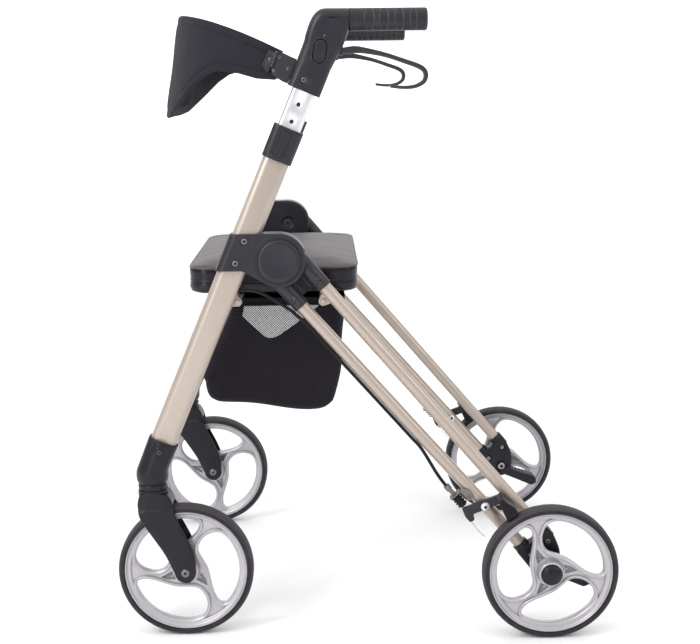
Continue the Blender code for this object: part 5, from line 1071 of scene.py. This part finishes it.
def make_caster_housings():
    """Elbow lofted from the front tube's rounded section to the round foot over the fork."""
    angle = np.linspace(0, 2 * pi, 96, endpoint=False)
    box = rounded_rectangle(0.0432, 0.030, 0.010, 16)
    around = np.arctan2(box[:, 1], box[:, 0]) % (2 * pi)
    order = np.argsort(around)
    far = np.interp(angle, around[order], np.hypot(box[:, 0], box[:, 1])[order], period=2 * pi)
    ring = circle(1.0, 96)
    rows = [turned_points(at_z(ring * (far - d)[:, None], 0.0473 - h), ((0, 0, MAST_FOOT_Z), LEAN))
            for d, h in ((0.004, 0), (0.0010, 0), (0.0003, 0.0003), (0.0, 0.0010))]
    foot = at_z(ring * 0.0231, 0.2520)
    rows += [rows[3] * (1 - t) + foot * t for t in np.linspace(0, 1, 16)[1:]]
    rows += [at_z(ring * r, z) for z, r in (
        (0.2460, 0.0233), (0.2415, 0.0231), (0.2385, 0.0226), (0.2362, 0.0218), (0.2350, 0.0209),
        (0.2345, 0.0199), (0.2345, 0.0150))]
    rows = np.stack(rows)
    body = rows[3:20].copy()
    rows[4:19] = (body[:-2] + 2 * body[1:-1] + body[2:]) / 4
    elbow = grid(rows, wrap=True, caps=True)
    tree = BVHTree.FromPolygons([Vector(p) for p in elbow[0]], elbow[1])
    at = np.array(tree.ray_cast(Vector((0.0133, -0.06, 0.2831)), Vector((0, 1, 0)))[0])
    both("caster_housing", [elbow, collar_ring(at - (0, 0.0002, 0), 0.0043, 0.0064, 0.0007)], "foot_plastic",
         "frame", STEM_PLACE)
    # Dark disc round the screw: painted shade in its well.
    well = rod(at + (0, 0.001, 0), at - (0, 0.0003, 0), 0.0044, 0.0001, 24)
    both("caster_screw_well", [well], "dark_void", "frame", STEM_PLACE)
    socketed("caster_screw", [(at, 0.0034, 0.0010, -1, 0.55)], STEM_PLACE, "frame", "black_steel")


def make_forks():
    """Two legs lofted between the fork's front and back lines, the crown over the wheel, the stem's rings."""
    z0, t = AXLE_Z, TRAIL
    front = smooth(np.vstack([[(-0.0180, FORK_TOP), (-0.0206, 0.2095), (-0.0212, z0 + 0.100),
                               (-0.0175, z0 + 0.081), (t - 0.0478, z0 + 0.057), (t - 0.0306, z0 + 0.030),
                               (t - 0.0178, z0 + 0.004)], arc(t, z0, 0.0155, -165, -70, 10)]), 90)
    back = smooth(np.vstack([[(0.0225, FORK_TOP), (0.0285, 0.2080), (0.0306, z0 + 0.099),
                              (t - 0.0085, z0 + 0.077), (t + 0.0063, z0 + 0.046), (t + 0.0145, z0 + 0.022)],
                             arc(t, z0, 0.0155, 10, -68, 10)]), 90)
    outer, inside, shoulder = 0.0225, 0.0163, 0.1935
    turn = np.linspace(0, pi / 2, 9)
    rows = []
    for a, b in zip(front, back):
        half = np.linalg.norm(b - a) / 2
        z = (a[1] + b[1]) / 2
        waist = ramp(z, 0.200, -0.022) * ramp(z, z0 + 0.004, 0.030)
        y = outer - 0.0024 * eased(waist) - 0.0030 * eased(ramp(z, 0.1930, 0.0065))
        rise = ramp(z, shoulder, FORK_TOP - shoulder) ** 0.4
        deep = min(0.0034 + 0.0026 * rise, half * 0.9, y - inside - 0.0002)
        wide = min(deep, half * 0.9) * (1 - rise) + half * 0.97 * rise
        edge = [(-half, inside)] + [(-half + wide * (1 - cos(u)), y - deep * (1 - sin(u))) for u in turn]
        edge = np.array(edge + [(-u, v) for u, v in edge[::-1]])
        line = (a + b) / 2 + edge[:, :1] * (b - a) / (2 * max(half, 1e-6))
        rows.append(np.stack([line[:, 0], edge[:, 1], line[:, 1]], -1))
    shapes = [grid(np.stack(rows) * (1, side, 1), wrap=True, caps=True) for side in (-1, 1)]
    over_wheel = arc(t, z0, 0.105, np.degrees(atan2(0.0842, -0.0627)), 98.5, 20)
    crown = np.vstack([front[front[:, 1] > 0.1845], over_wheel, back[back[:, 1] > 0.2040][::-1]])
    shapes.append(plate(crown, -inside - 0.0001, inside + 0.0001, 0.0))
    shapes.append(turned([
        (0, 0.2090), (0.0195, 0.2090), (0.0210, 0.2130), (0.0214, 0.2180), (0.0214, 0.2226),
        (0.0209, 0.2238), (0.0200, 0.2243), (0.0192, 0.2244), (0.0192, 0.2258), (0.0202, 0.2260),
        (0.0208, 0.2267), (0.0209, 0.2280), (0.0209, 0.2302), (0.0207, 0.2314), (0.0201, 0.2321),
        (0.0190, 0.2323), (0.0190, 0.2343), (0.006, 0.2343), (0.006, 0.2485), (0, 0.2485)], axis="z"))
    body = "caster_{}"
    both("caster_fork", shapes, "foot_plastic", body, STEM_PLACE)
    place = (FRONT_AXLE * (1, 0, 1) + (0, LEFT, 0), 0.0)
    seats = [collar_ring((0, side * 0.0222, 0), 0.0061, 0.0073, 0.0006, side) for side in (-1, 1)]
    both("front_axle_seat", seats, "black_plastic", body, place)
    both("front_axle", [screw((0, side * 0.0214, 0), 0.0061, 0.0020, side, 0.40) for side in (-1, 1)]
         + [rod((0, -0.0216, 0), (0, 0.0216, 0), 0.004)], "dull_steel", body, place)
    # Dark discs in the axle's sockets: painted shade.
    both("front_axle_sockets", [rod((0, side * 0.0214, 0), (0, side * 0.0226, 0), 0.0020, 0.0001, 12)
                                for side in (-1, 1)], "dark_void", body, place)


# Wheels

OPENING = 0.07836


def comma_opening():
    """Opening between two swept spokes: an arc along the ring, a round end, and a tail out to the ring."""
    back = [(-0.040, 0.975), (-0.150, 0.880), (-0.206, 0.710), (-0.180, 0.530), (-0.080, 0.400),
            (0.080, 0.345), (0.270, 0.290), (0.450, 0.185), (0.620, 0.070), (0.760, 0.000),
            (0.880, -0.022), (0.965, -0.004)]
    rim = arc(0, 0, 1, 4, 84, 40)
    line = np.vstack([rim, smooth(np.vstack([rim[-1], back, rim[0]]), 120)[1:-1]]) * OPENING
    return relaxed(resample(line, 150, closed=True), 3)


def make_rim(name, body, centre, phase, bore):
    """Ring, hub and a web with three openings: each opening is edged by a bead that stands over the web."""
    bead = mirrored_profile([(0.0056, 0.0028), (0.0053, 0.0054), (0.0048, 0.0066), (0.0041, 0.0072),
                             (0.0032, 0.0071), (0.0019, 0.0064), (0.0008, 0.0054), (0.0002, 0.0042),
                             (0.0, 0.0028)])
    web = 0.0032
    shapes, loops, pockets = [], [], []
    corners = np.vstack([[(-0.292, 0.425), (-0.297, 0.270)], arc(0, 0, 0.274, 154, 114, 8)]) * OPENING
    corners = softened(corners, [0.0012, 0.004] + [0.0008] * 8)
    turns = [-(120 * k + phase) for k in range(3)]
    for turn in turns:
        opening = turned_flat(comma_opening(), turn)
        out = relaxed(-inward(opening), 2)
        shapes.append(grid([at_y(opening + d * out, h) for d, h in bead], wrap=True, loop=True))
        loops.append(opening + 0.0015 * out)
        pockets.append(turned_flat(corners, turn))
    outer, inner = circle(0.0850, 96), circle(0.0165, 48)
    for face, out in ((web, 1), (-web, -1)):
        fills = pocketed_face(outer, [(loop, 0.0) for loop in loops + [inner]]
                              + [(pocket, 0.0016) for pocket in pockets], face, out)
        shapes += fills[:1] + fills[-3:]
    shapes += [grid([at_y(ring, h) for h in (web, -web)], wrap=True) for ring in (outer, inner)]
    ring = [(0.0812, 0.0), (0.0813, 0.0052), (0.0818, 0.0066), (0.0826, 0.0072), (0.0842, 0.0076),
            (0.0862, 0.0082), (0.0872, 0.0092), (0.0879, 0.0108), (0.0886, 0.0115), (0.0897, 0.0115),
            (0.0903, 0.0110), (0.09046, 0.0100)]
    shapes.append(turned(mirrored_profile(ring), 160, closed=True))
    hub = [(bore, 0.0), (bore, 0.0150), (bore + 0.0005, 0.0155), (0.0125, 0.0155), (0.0132, 0.0149),
           (0.0144, 0.0149), (0.0151, 0.0155), (0.0172, 0.0155), (0.0180, 0.0148), (0.0186, 0.0080),
           (0.0190, 0.0058), (0.0198, 0.0046), (0.0206, 0.0030), (0.0206, 0.0)]
    shapes.append(turned(mirrored_profile(hub), 80, closed=True))
    for turn in turns:
        x, z = turned_flat(corners.mean(0)[None], turn)[0]
        shapes.append(rod((x, -0.0034, z), (x, 0.0034, z), 0.0013, 0.0003, 14))
    points, faces = merged(shapes)
    reach, depth = np.hypot(points[:, 0], points[:, 2]), np.abs(points[:, 1])
    mark = ((depth < 0.0026) & (depth > 0.001) & (reach > 0.0208) & (reach < 0.05)).astype(float)
    piece(name, [(points + centre, faces)], "rim_plastic", body, {"mark": mark})


def make_wheels():
    """Four wheels, each turned by its own phase; the tyre is a profile round the axle, its tread painted
    paler as light falling from above.
    """
    tyre = [(0.0906, 0.0), (0.0906, 0.0110), (0.0909, 0.0128), (0.0918, 0.0138), (0.0932, 0.0140),
            (0.0944, 0.0140), (0.0948, 0.0137), (0.0950, 0.0133), (0.0954, 0.0133), (0.0964, 0.0130),
            (0.0976, 0.0119), (0.0985, 0.0104), (0.0991, 0.0086), (0.0994, 0.0066), (0.0995, 0.0040),
            (0.0995, 0.0)]
    points, faces = turned(mirrored_profile(tyre)[:-1], 200, closed=True)
    # Mark on the tread, painted paler: painted light from above.
    mark = ramp(np.hypot(points[:, 0], points[:, 2]), 0.0960, 0.0006)
    for end, axle, bore, phases in (("front", FRONT_AXLE, 0.0043, (-46, -75)),
                                    ("rear", REAR_AXLE, 0.0063, (-4, -11))):
        for side, flip, phase in zip(("left", "right"), (1, -1), phases):
            centre, body = axle * (1, flip, 1), f"{end}_wheel_{side}"
            make_rim(f"{end}_rim_{side}", body, centre, phase, bore)
            piece(f"{end}_tyre_{side}", [(points + centre, faces)], "tyre", body, {"mark": mark})


# Back strap and its hinges

STRAP_HALF_WIDTH = 0.2436
STRAP_DEPTH = 0.161
STRAP_LEAN = 0.024
STRAP_RISE = 0.056
STRAP_LOW = np.array([(0, -0.039), (0.15, -0.037), (0.30, -0.0295), (0.476, -0.0255), (0.56, -0.030),
                      (0.663, -0.043), (0.811, -0.070), (0.92, -0.0900), (0.975, -0.0945), (1, -0.0950)])


def strap_point(across, up):
    """Middle surface of the strap: across from -1 to 1 on a superellipse plan, up from 0 to 1."""
    end = turned_points((-0.0475, 0, HOUSING_START + 0.0395), MAST)
    angle, power = np.abs(across) * pi / 2, 2 / 2.4
    y = STRAP_HALF_WIDTH * np.sin(angle) ** power * np.sign(across)
    share = np.maximum(np.cos(angle), 0.0) ** power
    top = STRAP_RISE * (1 - (1 - share) ** 1.45)
    low = np.interp(share, *STRAP_LOW.T)
    x = end[0] - (STRAP_DEPTH + STRAP_LEAN * (1 - up)) * share - 0.011 * (1 - up) * (1 - share)
    return np.stack(np.broadcast_arrays(x, y, end[2] + low + (top - low) * up), -1)


def make_strap():
    """Padded strap: outside and inside of the middle surface, thin at its hems and sunk at its seams, with
    slanted folds on the inside: the square of a sine of the length and height, swelling along the length."""
    a = np.linspace(-1, 1, 521)
    across = np.sign(a) * (1 - (1 - np.abs(a)) ** 1.15)
    up = np.linspace(0, 1, 61)
    hem = 0.0115
    middle = strap_point(across[:, None], up[None])
    out = unit(np.cross(np.gradient(middle, axis=1), np.gradient(middle, axis=0)))
    along = np.concatenate([[0], np.cumsum(np.linalg.norm(np.diff(middle[:, 30], axis=0), axis=1))])[:, None]
    full = np.linalg.norm(middle[:, -1] - middle[:, 0], axis=1)
    height = up[None] * full[:, None]
    from_hem = np.minimum(height, full[:, None] - height)
    half = 0.0036 * (1 - np.exp(-(from_hem + 0.0007) / 0.0011)) + 0.0006 * ramp(from_hem, 0.0125, 0.008)
    for seam, sunk in ((hem, 0.0013), (0.0040, 0.0004)):
        half = half - sunk * np.exp(-((from_hem - seam) / 0.0008) ** 2)
    inner = ramp(from_hem, 0.0125, 0.003)
    fold = np.sin(along * 330 + height * 190 + 1.5 * np.sin(along * 60)) ** 2
    fold = fold * (0.55 + 0.45 * np.sin(along * 47 + 11 * height))
    half_in = half + 0.0013 * fold * inner
    half_out = half + 0.0005 * np.sin(along * 37 + 13 * height) * np.sin(height * 60 - along * 11) * inner
    back = (middle - out * half_in[..., None])[:, ::-1]
    rows = np.concatenate([middle + out * half_out[..., None], back], 1)
    flat = np.stack([np.broadcast_to(along, height.shape), height, 0 * height], -1)
    values = {"flat": np.concatenate([flat, flat[:, ::-1]], 1).reshape(-1, 3),
              "mark": 0.8 * np.concatenate([0 * inner, inner[:, ::-1]], 1).ravel()}
    strap = piece("backrest_strap", [grid(rows, wrap=True, caps=True)], "strap_cloth", "handles", values)
    stitches, count = [], np.arange(len(a))
    for share in (1 - hem / full, hem / full):
        column = np.clip((share * 60).round().astype(int), 0, 60)
        for side, thick in ((1, half_out), (-1, half_in)):
            line = strap_point(across, share) + side * out[count, column] * thick[count, column][:, None]
            line = resample(line, 340)
            stitches += [swept(line[k:k + 3], circle(0.0003, 5)) for k in range(2, 336, 3)]
    piece("strap_stitches", stitches, "black_thread", "handles")


def make_strap_hinges():
    """Two plates of the hinge, the knuckles round its pin between them, and the slot that holds the strap,
    its dark plate a painted shade.
    """
    low, high, edge = HOUSING_START + 0.0010, HOUSING_START + 0.0368, -0.0245
    side, inner = -0.0014, 0.0016
    ahead = softened([(-0.0655, high - 0.003), (-0.0668, low + 0.0105), (-0.0575, low + 0.003),
                      (-0.0553, low + 0.006), (-0.0553, high - 0.003)], 0.0010)
    fixed = softened([(-0.0531, high), (-0.0531, low + 0.010), (-0.050, low + 0.004), (-0.034, low),
                      (edge, low), (edge - 0.0009, high)], 0.0012)
    knuckles = np.linspace(low + 0.012, high, 6)
    pin = [rod((-0.054, inner - 0.003, start + 0.0002), (-0.054, inner - 0.003, end - 0.0002), 0.003, 0.0004)
           for start, end in zip(knuckles, knuckles[1:])]
    both("backrest_hinge", [plate(ahead, side, inner, 0.0006), plate(fixed, side, inner, 0.0006)] + pin,
         "black_steel", "handles", MAST)
    # Dark plate in the slot: painted shade.
    slot = softened([(-0.0646, high - 0.0045), (-0.0657, low + 0.0120), (-0.0641, low + 0.0105),
                     (-0.0631, high - 0.0045)], 0.0003)
    both("hinge_slot", [plate(slot, side - 0.0001, side + 0.0005, 0.0001)], "dark_void", "handles", MAST)
    heads = [((x, side, z), 0.0025, 0.0011, -1, 0.5) for x, z in
             ((-0.0600, 0.6112), (-0.0490, 0.6187), (-0.0490, 0.5988), (-0.0317, 0.6083))]
    socketed("hinge_screws", heads, MAST, "handles")


# Seat

SEAT_MIDDLE = -0.1314
SEAT_LENGTH = 0.250
SEAT_WIDTH = 0.409
SEAT_CORNER = 0.030
SEAT_LOW = 0.5030
SEAT_TOP = 0.5520
LOW_SEAM = 0.5216
TOP_SEAM = 0.5412


def seat_loop(inset, z, share=1.0):
    """Level loop of the cushion: its rounded plan drawn in by an inset or shrunk to a share."""
    outline = rounded_rectangle(SEAT_LENGTH - 2 * inset, SEAT_WIDTH - 2 * inset, SEAT_CORNER - inset, 10)
    return at_z(resample(outline, 200, closed=True) * share + (SEAT_MIDDLE, 0), z)


def make_seat():
    """Cushion inflated as cloth between its seams, with piping laid along the seams afterwards."""
    rings = [seat_loop(*ring) for ring in (
        (0.0197, 0.5078), (0.0197, SEAT_LOW), (0.010, SEAT_LOW), (0.003, 0.5056), (0.0004, 0.5120),
        (0.0014, 0.5185), (0.0016, 0.5250), (0.0010, 0.5320), (0.0008, 0.5390), (0.0022, 0.5415),
        (0.0052, 0.5436))]
    rings += [seat_loop(0.0052, SEAT_TOP - 0.0084 * share ** 2.6, share)
              for share in (0.95, 0.86, 0.74, 0.60, 0.45, 0.30, 0.15)]
    centre = np.tile([[SEAT_MIDDLE, 0, SEAT_TOP]], (200, 1))
    cushion = piece("seat_cushion", [grid(rings + [centre], wrap=True), (rings[0], [list(range(200))])],
                    "seat_vinyl", "seat")
    inflate(cushion)
    points = points_of(cushion)
    # Mark: the top above the upper seam, painted lighter as light from above.
    paint(cushion.data, "mark", ramp(points[:, 2], 0.5405, 0.0015))
    tree = BVHTree.FromPolygons(points.tolist(), [p.vertices for p in cushion.data.polygons])
    # The shade value paints each cord's top light: full on the upper cord, slight on the lower one.
    for name, z, radius, shade in (("top", TOP_SEAM, 0.0019, 1.0), ("low", LOW_SEAM, 0.0015, 0.08)):
        seam = relaxed(np.array([tree.find_nearest(Vector(p))[0] for p in seat_loop(0.0, z)]), 4)
        cord = piece(f"seat_piping_{name}", [swept(seam, circle(radius, 12), side=(0, 0, 1), loop=True)],
                     "seat_vinyl", "seat")
        paint(cord.data, "mark", np.full(len(cord.data.vertices), shade))


def inflate(obj):
    """Cloth under pressure with its foot and side seams pinned; what it moves is kept within 4 mm."""
    rest = points_of(obj)
    held = obj.vertex_groups.new(name="held")
    for k, z in enumerate(rest[:, 2]):
        still = z < 0.5125 or abs(z - LOW_SEAM) < 0.0040 or abs(z - TOP_SEAM) < 0.0024
        held.add([k], float(still), "REPLACE")
    cloth = obj.modifiers.new("air", "CLOTH")
    for key, value in {"vertex_group_mass": "held", "use_pressure": True, "uniform_pressure_force": 4.0,
                       "tension_stiffness": 25.0, "compression_stiffness": 25.0, "shear_stiffness": 10.0,
                       "bending_stiffness": 2.0, "mass": 0.4, "quality": 6}.items():
        setattr(cloth.settings, key, value)
    cloth.settings.effector_weights.gravity = 0.0
    cloth.point_cache.frame_start, cloth.point_cache.frame_end = 1, 20
    for number in range(1, 21):
        bpy.context.scene.frame_set(number)
    step = points_of(obj.evaluated_get(bpy.context.evaluated_depsgraph_get())) - rest
    obj.modifiers.remove(cloth)
    bpy.context.scene.frame_set(1)
    step *= np.minimum(1, 0.0040 / np.maximum(np.linalg.norm(step, axis=1, keepdims=True), 1e-9))
    obj.data.vertices.foreach_set("co", (rest + step).astype(np.float32).ravel())
    obj.data.update()


# Bag

WINDOW_TOP = 0.4812
WINDOW_LOW = 0.428
HEM_END = 0.1752


def net_window():
    """Three-sided opening high on the side of the bag."""
    return softened([(-0.1776, WINDOW_TOP), (-0.1815, 0.4640), (-0.1440, 0.4285), (-0.1290, 0.4305),
                     (-0.0940, 0.4545), (-0.0764, 0.4690), (-0.0600, WINDOW_TOP)],
                    [0.002, 0.004, 0.008, 0.008, 0.010, 0.010, 0.001])


def hung(name, shapes, finish, flatten=None):
    """Piece of the bag, on no body; flatten lays out its weave."""
    obj = piece(name, shapes, finish, None)
    if flatten is not None:
        points = points_of(obj)
        paint(obj.data, "flat", np.hstack([points @ np.array(flatten, float), np.zeros((len(points), 1))]))
    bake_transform(obj)


def make_bag():
    """Sack lofted across from side to side: each column is the side outline, drawn in near the corners."""
    corner = (-0.1299, 0.323)
    front = smooth([(-0.1869, BAG_TOP), (-0.2399, 0.3835), (-0.2399, 0.3635), (-0.2349, 0.345),
                    (-0.2264, 0.3355), (-0.2054, 0.329), corner], 60)
    back = smooth([corner, (-0.0724, 0.319), (-0.0514, 0.325), (-0.0417, 0.3415), (-0.0314, 0.4105),
                   (-0.0264, BAG_TOP)], 50)
    outline = np.vstack([front, back[1:]])
    _, into = directions(outline)
    centre = np.array([-0.128, 0.41])
    into *= np.sign(np.sum(into * (centre - outline), axis=1, keepdims=True))
    turn, edge = np.linspace(0, pi / 2, 9), 0.0135
    across, drawn = edge * (1 - np.cos(turn)) - BAG_SIDE_Y, edge * (1 - np.sin(turn))
    level = np.linspace(across[-1], -across[-1], 61)
    y = np.concatenate([across, level[1:-1], -across[::-1]])[None]
    x, z = outline[:, :1], outline[:, 1:]
    loose = ramp(BAG_TOP - z, 0, 0.03)
    wave = np.sin(y * 41 + z * 55) * np.sin(y * 17 - x * 38 + 0.7)
    shift = np.concatenate([drawn, np.zeros(59), drawn[::-1]])[None] + 0.0028 * wave * loose
    surface = np.stack(np.broadcast_arrays(x + into[:, :1] * shift, y,
                                           z + into[:, 1:] * shift * np.clip(loose + 0.02, 0, 1)), -1)
    normal = unit(np.cross(np.gradient(surface, axis=0), np.gradient(surface, axis=1)))
    normal *= np.sign(np.sum(normal[30, 40] * ((centre[0], 0, centre[1]) - surface[30, 40])))
    shapes = []
    for depth, holes in ((0.0, [(net_window(), 0.0)]), (0.0030, [])):
        layer = surface + normal * depth
        shapes.append(grid(layer))
        for column, out in ((0, -1), (-1, 1)):
            border = layer[:, column]
            loop = np.vstack([border, np.linspace(border[-1], border[0], 12)[1:-1]])
            panel, faces = pocketed_face(loop[:, [0, 2]], holes, loop[:, 1].mean(), out)[0]
            panel[:len(loop), 1] = loop[:, 1]
            shapes.append((panel, faces))
    hung("bag", shapes, "fabric", [(1, 0.5), (1, 0), (0, 1)])


def in_outline(point, outline):
    """Even-odd rule: an odd number of edges is crossed by a level ray from the point."""
    x, z = point
    a, b = outline, np.roll(outline, -1, 0)
    cross = (a[:, 1] > z) != (b[:, 1] > z)
    at = a[:, 0] + (z - a[:, 1]) * (b[:, 0] - a[:, 0]) / np.where(b[:, 1] == a[:, 1], 1e-9, b[:, 1] - a[:, 1])
    return bool(np.sum(cross & (at > x)) % 2)


def make_bag_trim():
    """Hem sleeves round the bars, and each side's net window with binding, white stitches and a pale glowing
    sheet behind the net, painted light seen through it.
    """
    sleeves = []
    for bar, y0, y1, steps, waves in ((FRONT_BAR, -HEM_END, -0.1335, 60, 33.36),
                                      (FRONT_BAR, -0.1065, 0.1065, 60, 170.4),
                                      (FRONT_BAR, 0.1335, HEM_END, 60, 33.36),
                                      (REAR_BAR, -HEM_END, HEM_END, 160, 120)):
        size = 1 + 0.035 * np.sin(np.linspace(0, waves, steps))
        sleeves.append(swept(np.linspace(bar + (0, y0, 0), bar + (0, y1, 0), steps), circle(0.0062, 28), size,
                             side=(0, 0, 1)))
    hung("bag_hem", sleeves, "webbing", [(0, 1), (1, 0), (0, 1)])
    rim = net_window()
    for side, out in (("left", -1), ("right", 1)):
        face = 0.1757 * out
        threads = []
        for slope in (1, -1):
            for k in np.arange(0.35, 0.56, 0.0035):
                line = [(x, slope * (x + 0.135) + k) for x in np.linspace(-0.183, -0.058, 150)]
                inside = [p for p in line if WINDOW_LOW < p[1] < WINDOW_TOP and in_outline(p, rim)]
                if len(inside) > 2:
                    line = np.array([inside[0], inside[len(inside) // 2], inside[-1]])
                    threads.append(swept(at_y(line, face + 0.0002 * slope), circle(0.00047, 5)))
        hung(f"net_{side}", threads, "net")
        # Pale glowing sheet just inside the net: painted light seen through the bag.
        lining = plate(rim - 0.0005 * inward(rim), out * 0.1741, out * 0.1745, 0.0001)
        hung(f"net_lining_{side}", [lining], "lining")
        binding = swept(at_y(rim, face), rounded_rectangle(0.0014, 0.0030, 0.0006, 4), loop=True)
        hung(f"net_binding_{side}", [binding], "webbing", [(1, 0), (0, 0), (0, 1)])
        stitches = [rod((x - 0.0011, face, z), (x + 0.0011, face, z), 0.0005, 0.0002, 8) for x, z in
                    ((-0.1962, 0.4758), (-0.0771, 0.4785), (-0.0698, 0.4739), (-0.0607, 0.4790))]
        hung(f"bag_stitches_{side}", stitches, "white_thread")


# Stage, lights and camera

def painted_sheet(name, corners, inputs):
    """Large flat sheet of the room, its four corners given as two rows."""
    sheet = linked(name, make_mesh(name, [grid(corners)]))
    material = bpy.data.materials.new(name + "_paint")
    material.use_nodes = True
    for key, value in inputs.items():
        material.node_tree.nodes["Principled BSDF"].inputs[key].default_value = value
    sheet.data.materials.append(material)
    return sheet


def make_stage():
    """Pale floor, a glowing sheet behind, a world brighter towards the sky, and three soft lamps."""
    painted_sheet("floor", [[(-12, -12, 0), (-12, 12, 0)], [(12, -12, 0), (12, 12, 0)]],
                           {"Base Color": (0.95, 0.95, 0.95, 1), "Roughness": 0.9})
    painted_sheet("backdrop", [[(-12, 9, 0), (-12, 9, 9)], [(12, 9, 0), (12, 9, 9)]],
                           {"Emission Color": (1, 1, 1, 1), "Emission Strength": 0.6})
    world = bpy.data.worlds.new("room")
    world.use_nodes = True
    tree = world.node_tree
    way = tree.nodes.new("ShaderNodeTexCoord").outputs["Generated"]
    split = tree.nodes.new("ShaderNodeSeparateXYZ")
    tree.links.new(way, split.inputs[0])
    rise = tree.nodes.new("ShaderNodeMapRange")
    rise.inputs["To Min"].default_value, rise.inputs["To Max"].default_value = 0.42, 1.45
    tree.links.new(split.outputs["Z"], rise.inputs["Value"])
    tree.links.new(rise.outputs[0], tree.nodes["Background"].inputs["Strength"])
    tree.nodes["Background"].inputs["Color"].default_value = (1, 1, 1, 1)
    bpy.context.scene.world = world
    for name, place, size, tall, power in (("key", (-1.8, -1.7, 2.2), 1.0, 1.0, 30),
                                           ("side", (2.4, -1.4, 1.6), 0.8, 0.8, 9),
                                           ("strip", (-1.45, -2.25, 0.80), 0.22, 1.5, 9)):
        light = bpy.data.lights.new(name, "AREA")
        light.shape, light.size, light.size_y, light.energy = "RECTANGLE", size, tall, power
        lamp = linked(name, light)
        lamp.location = place
        lamp.rotation_euler = (Vector((0, 0, 0.45)) - lamp.location).to_track_quat("-Z", "Y").to_euler()


def make_camera():
    """Camera at the photograph's angle, fitted to the wheels, the leaning tubes and the floor."""
    camera = bpy.data.cameras.new("camera")
    camera.lens, camera.sensor_width = 67.18, 36
    obj = linked("camera", camera)
    right = Vector((0.99970524, -0.02154503, -0.01119153))
    up = Vector((0.01496655, 0.18393238, 0.98282495))
    ahead = Vector((0.0191165, 0.98270275, -0.18420062))
    obj.matrix_world = Matrix((right, up, -ahead)).transposed().to_4x4()
    obj.location = (-0.05661198, -2.09317777, 0.81276868)
    bpy.context.scene.camera = obj


for make in (make_front_tubes, make_handle_tubes, make_rear_tubes, make_cross_bars, make_collars,
             make_housings, make_grips, make_levers, make_brackets, make_leg_sockets, make_axle_brackets,
             make_rear_axles, make_brakes, make_cable_stops, make_cables, make_caster_housings, make_forks,
             make_wheels, make_strap, make_strap_hinges, make_seat, make_bag, make_bag_trim):
    make()
board = frame["nodes"]["seat_board"].data.materials
board.clear()
board.append(FINISHES["board"])
make_stage()
make_camera()
bpy.context.scene.view_settings.view_transform = "Standard"
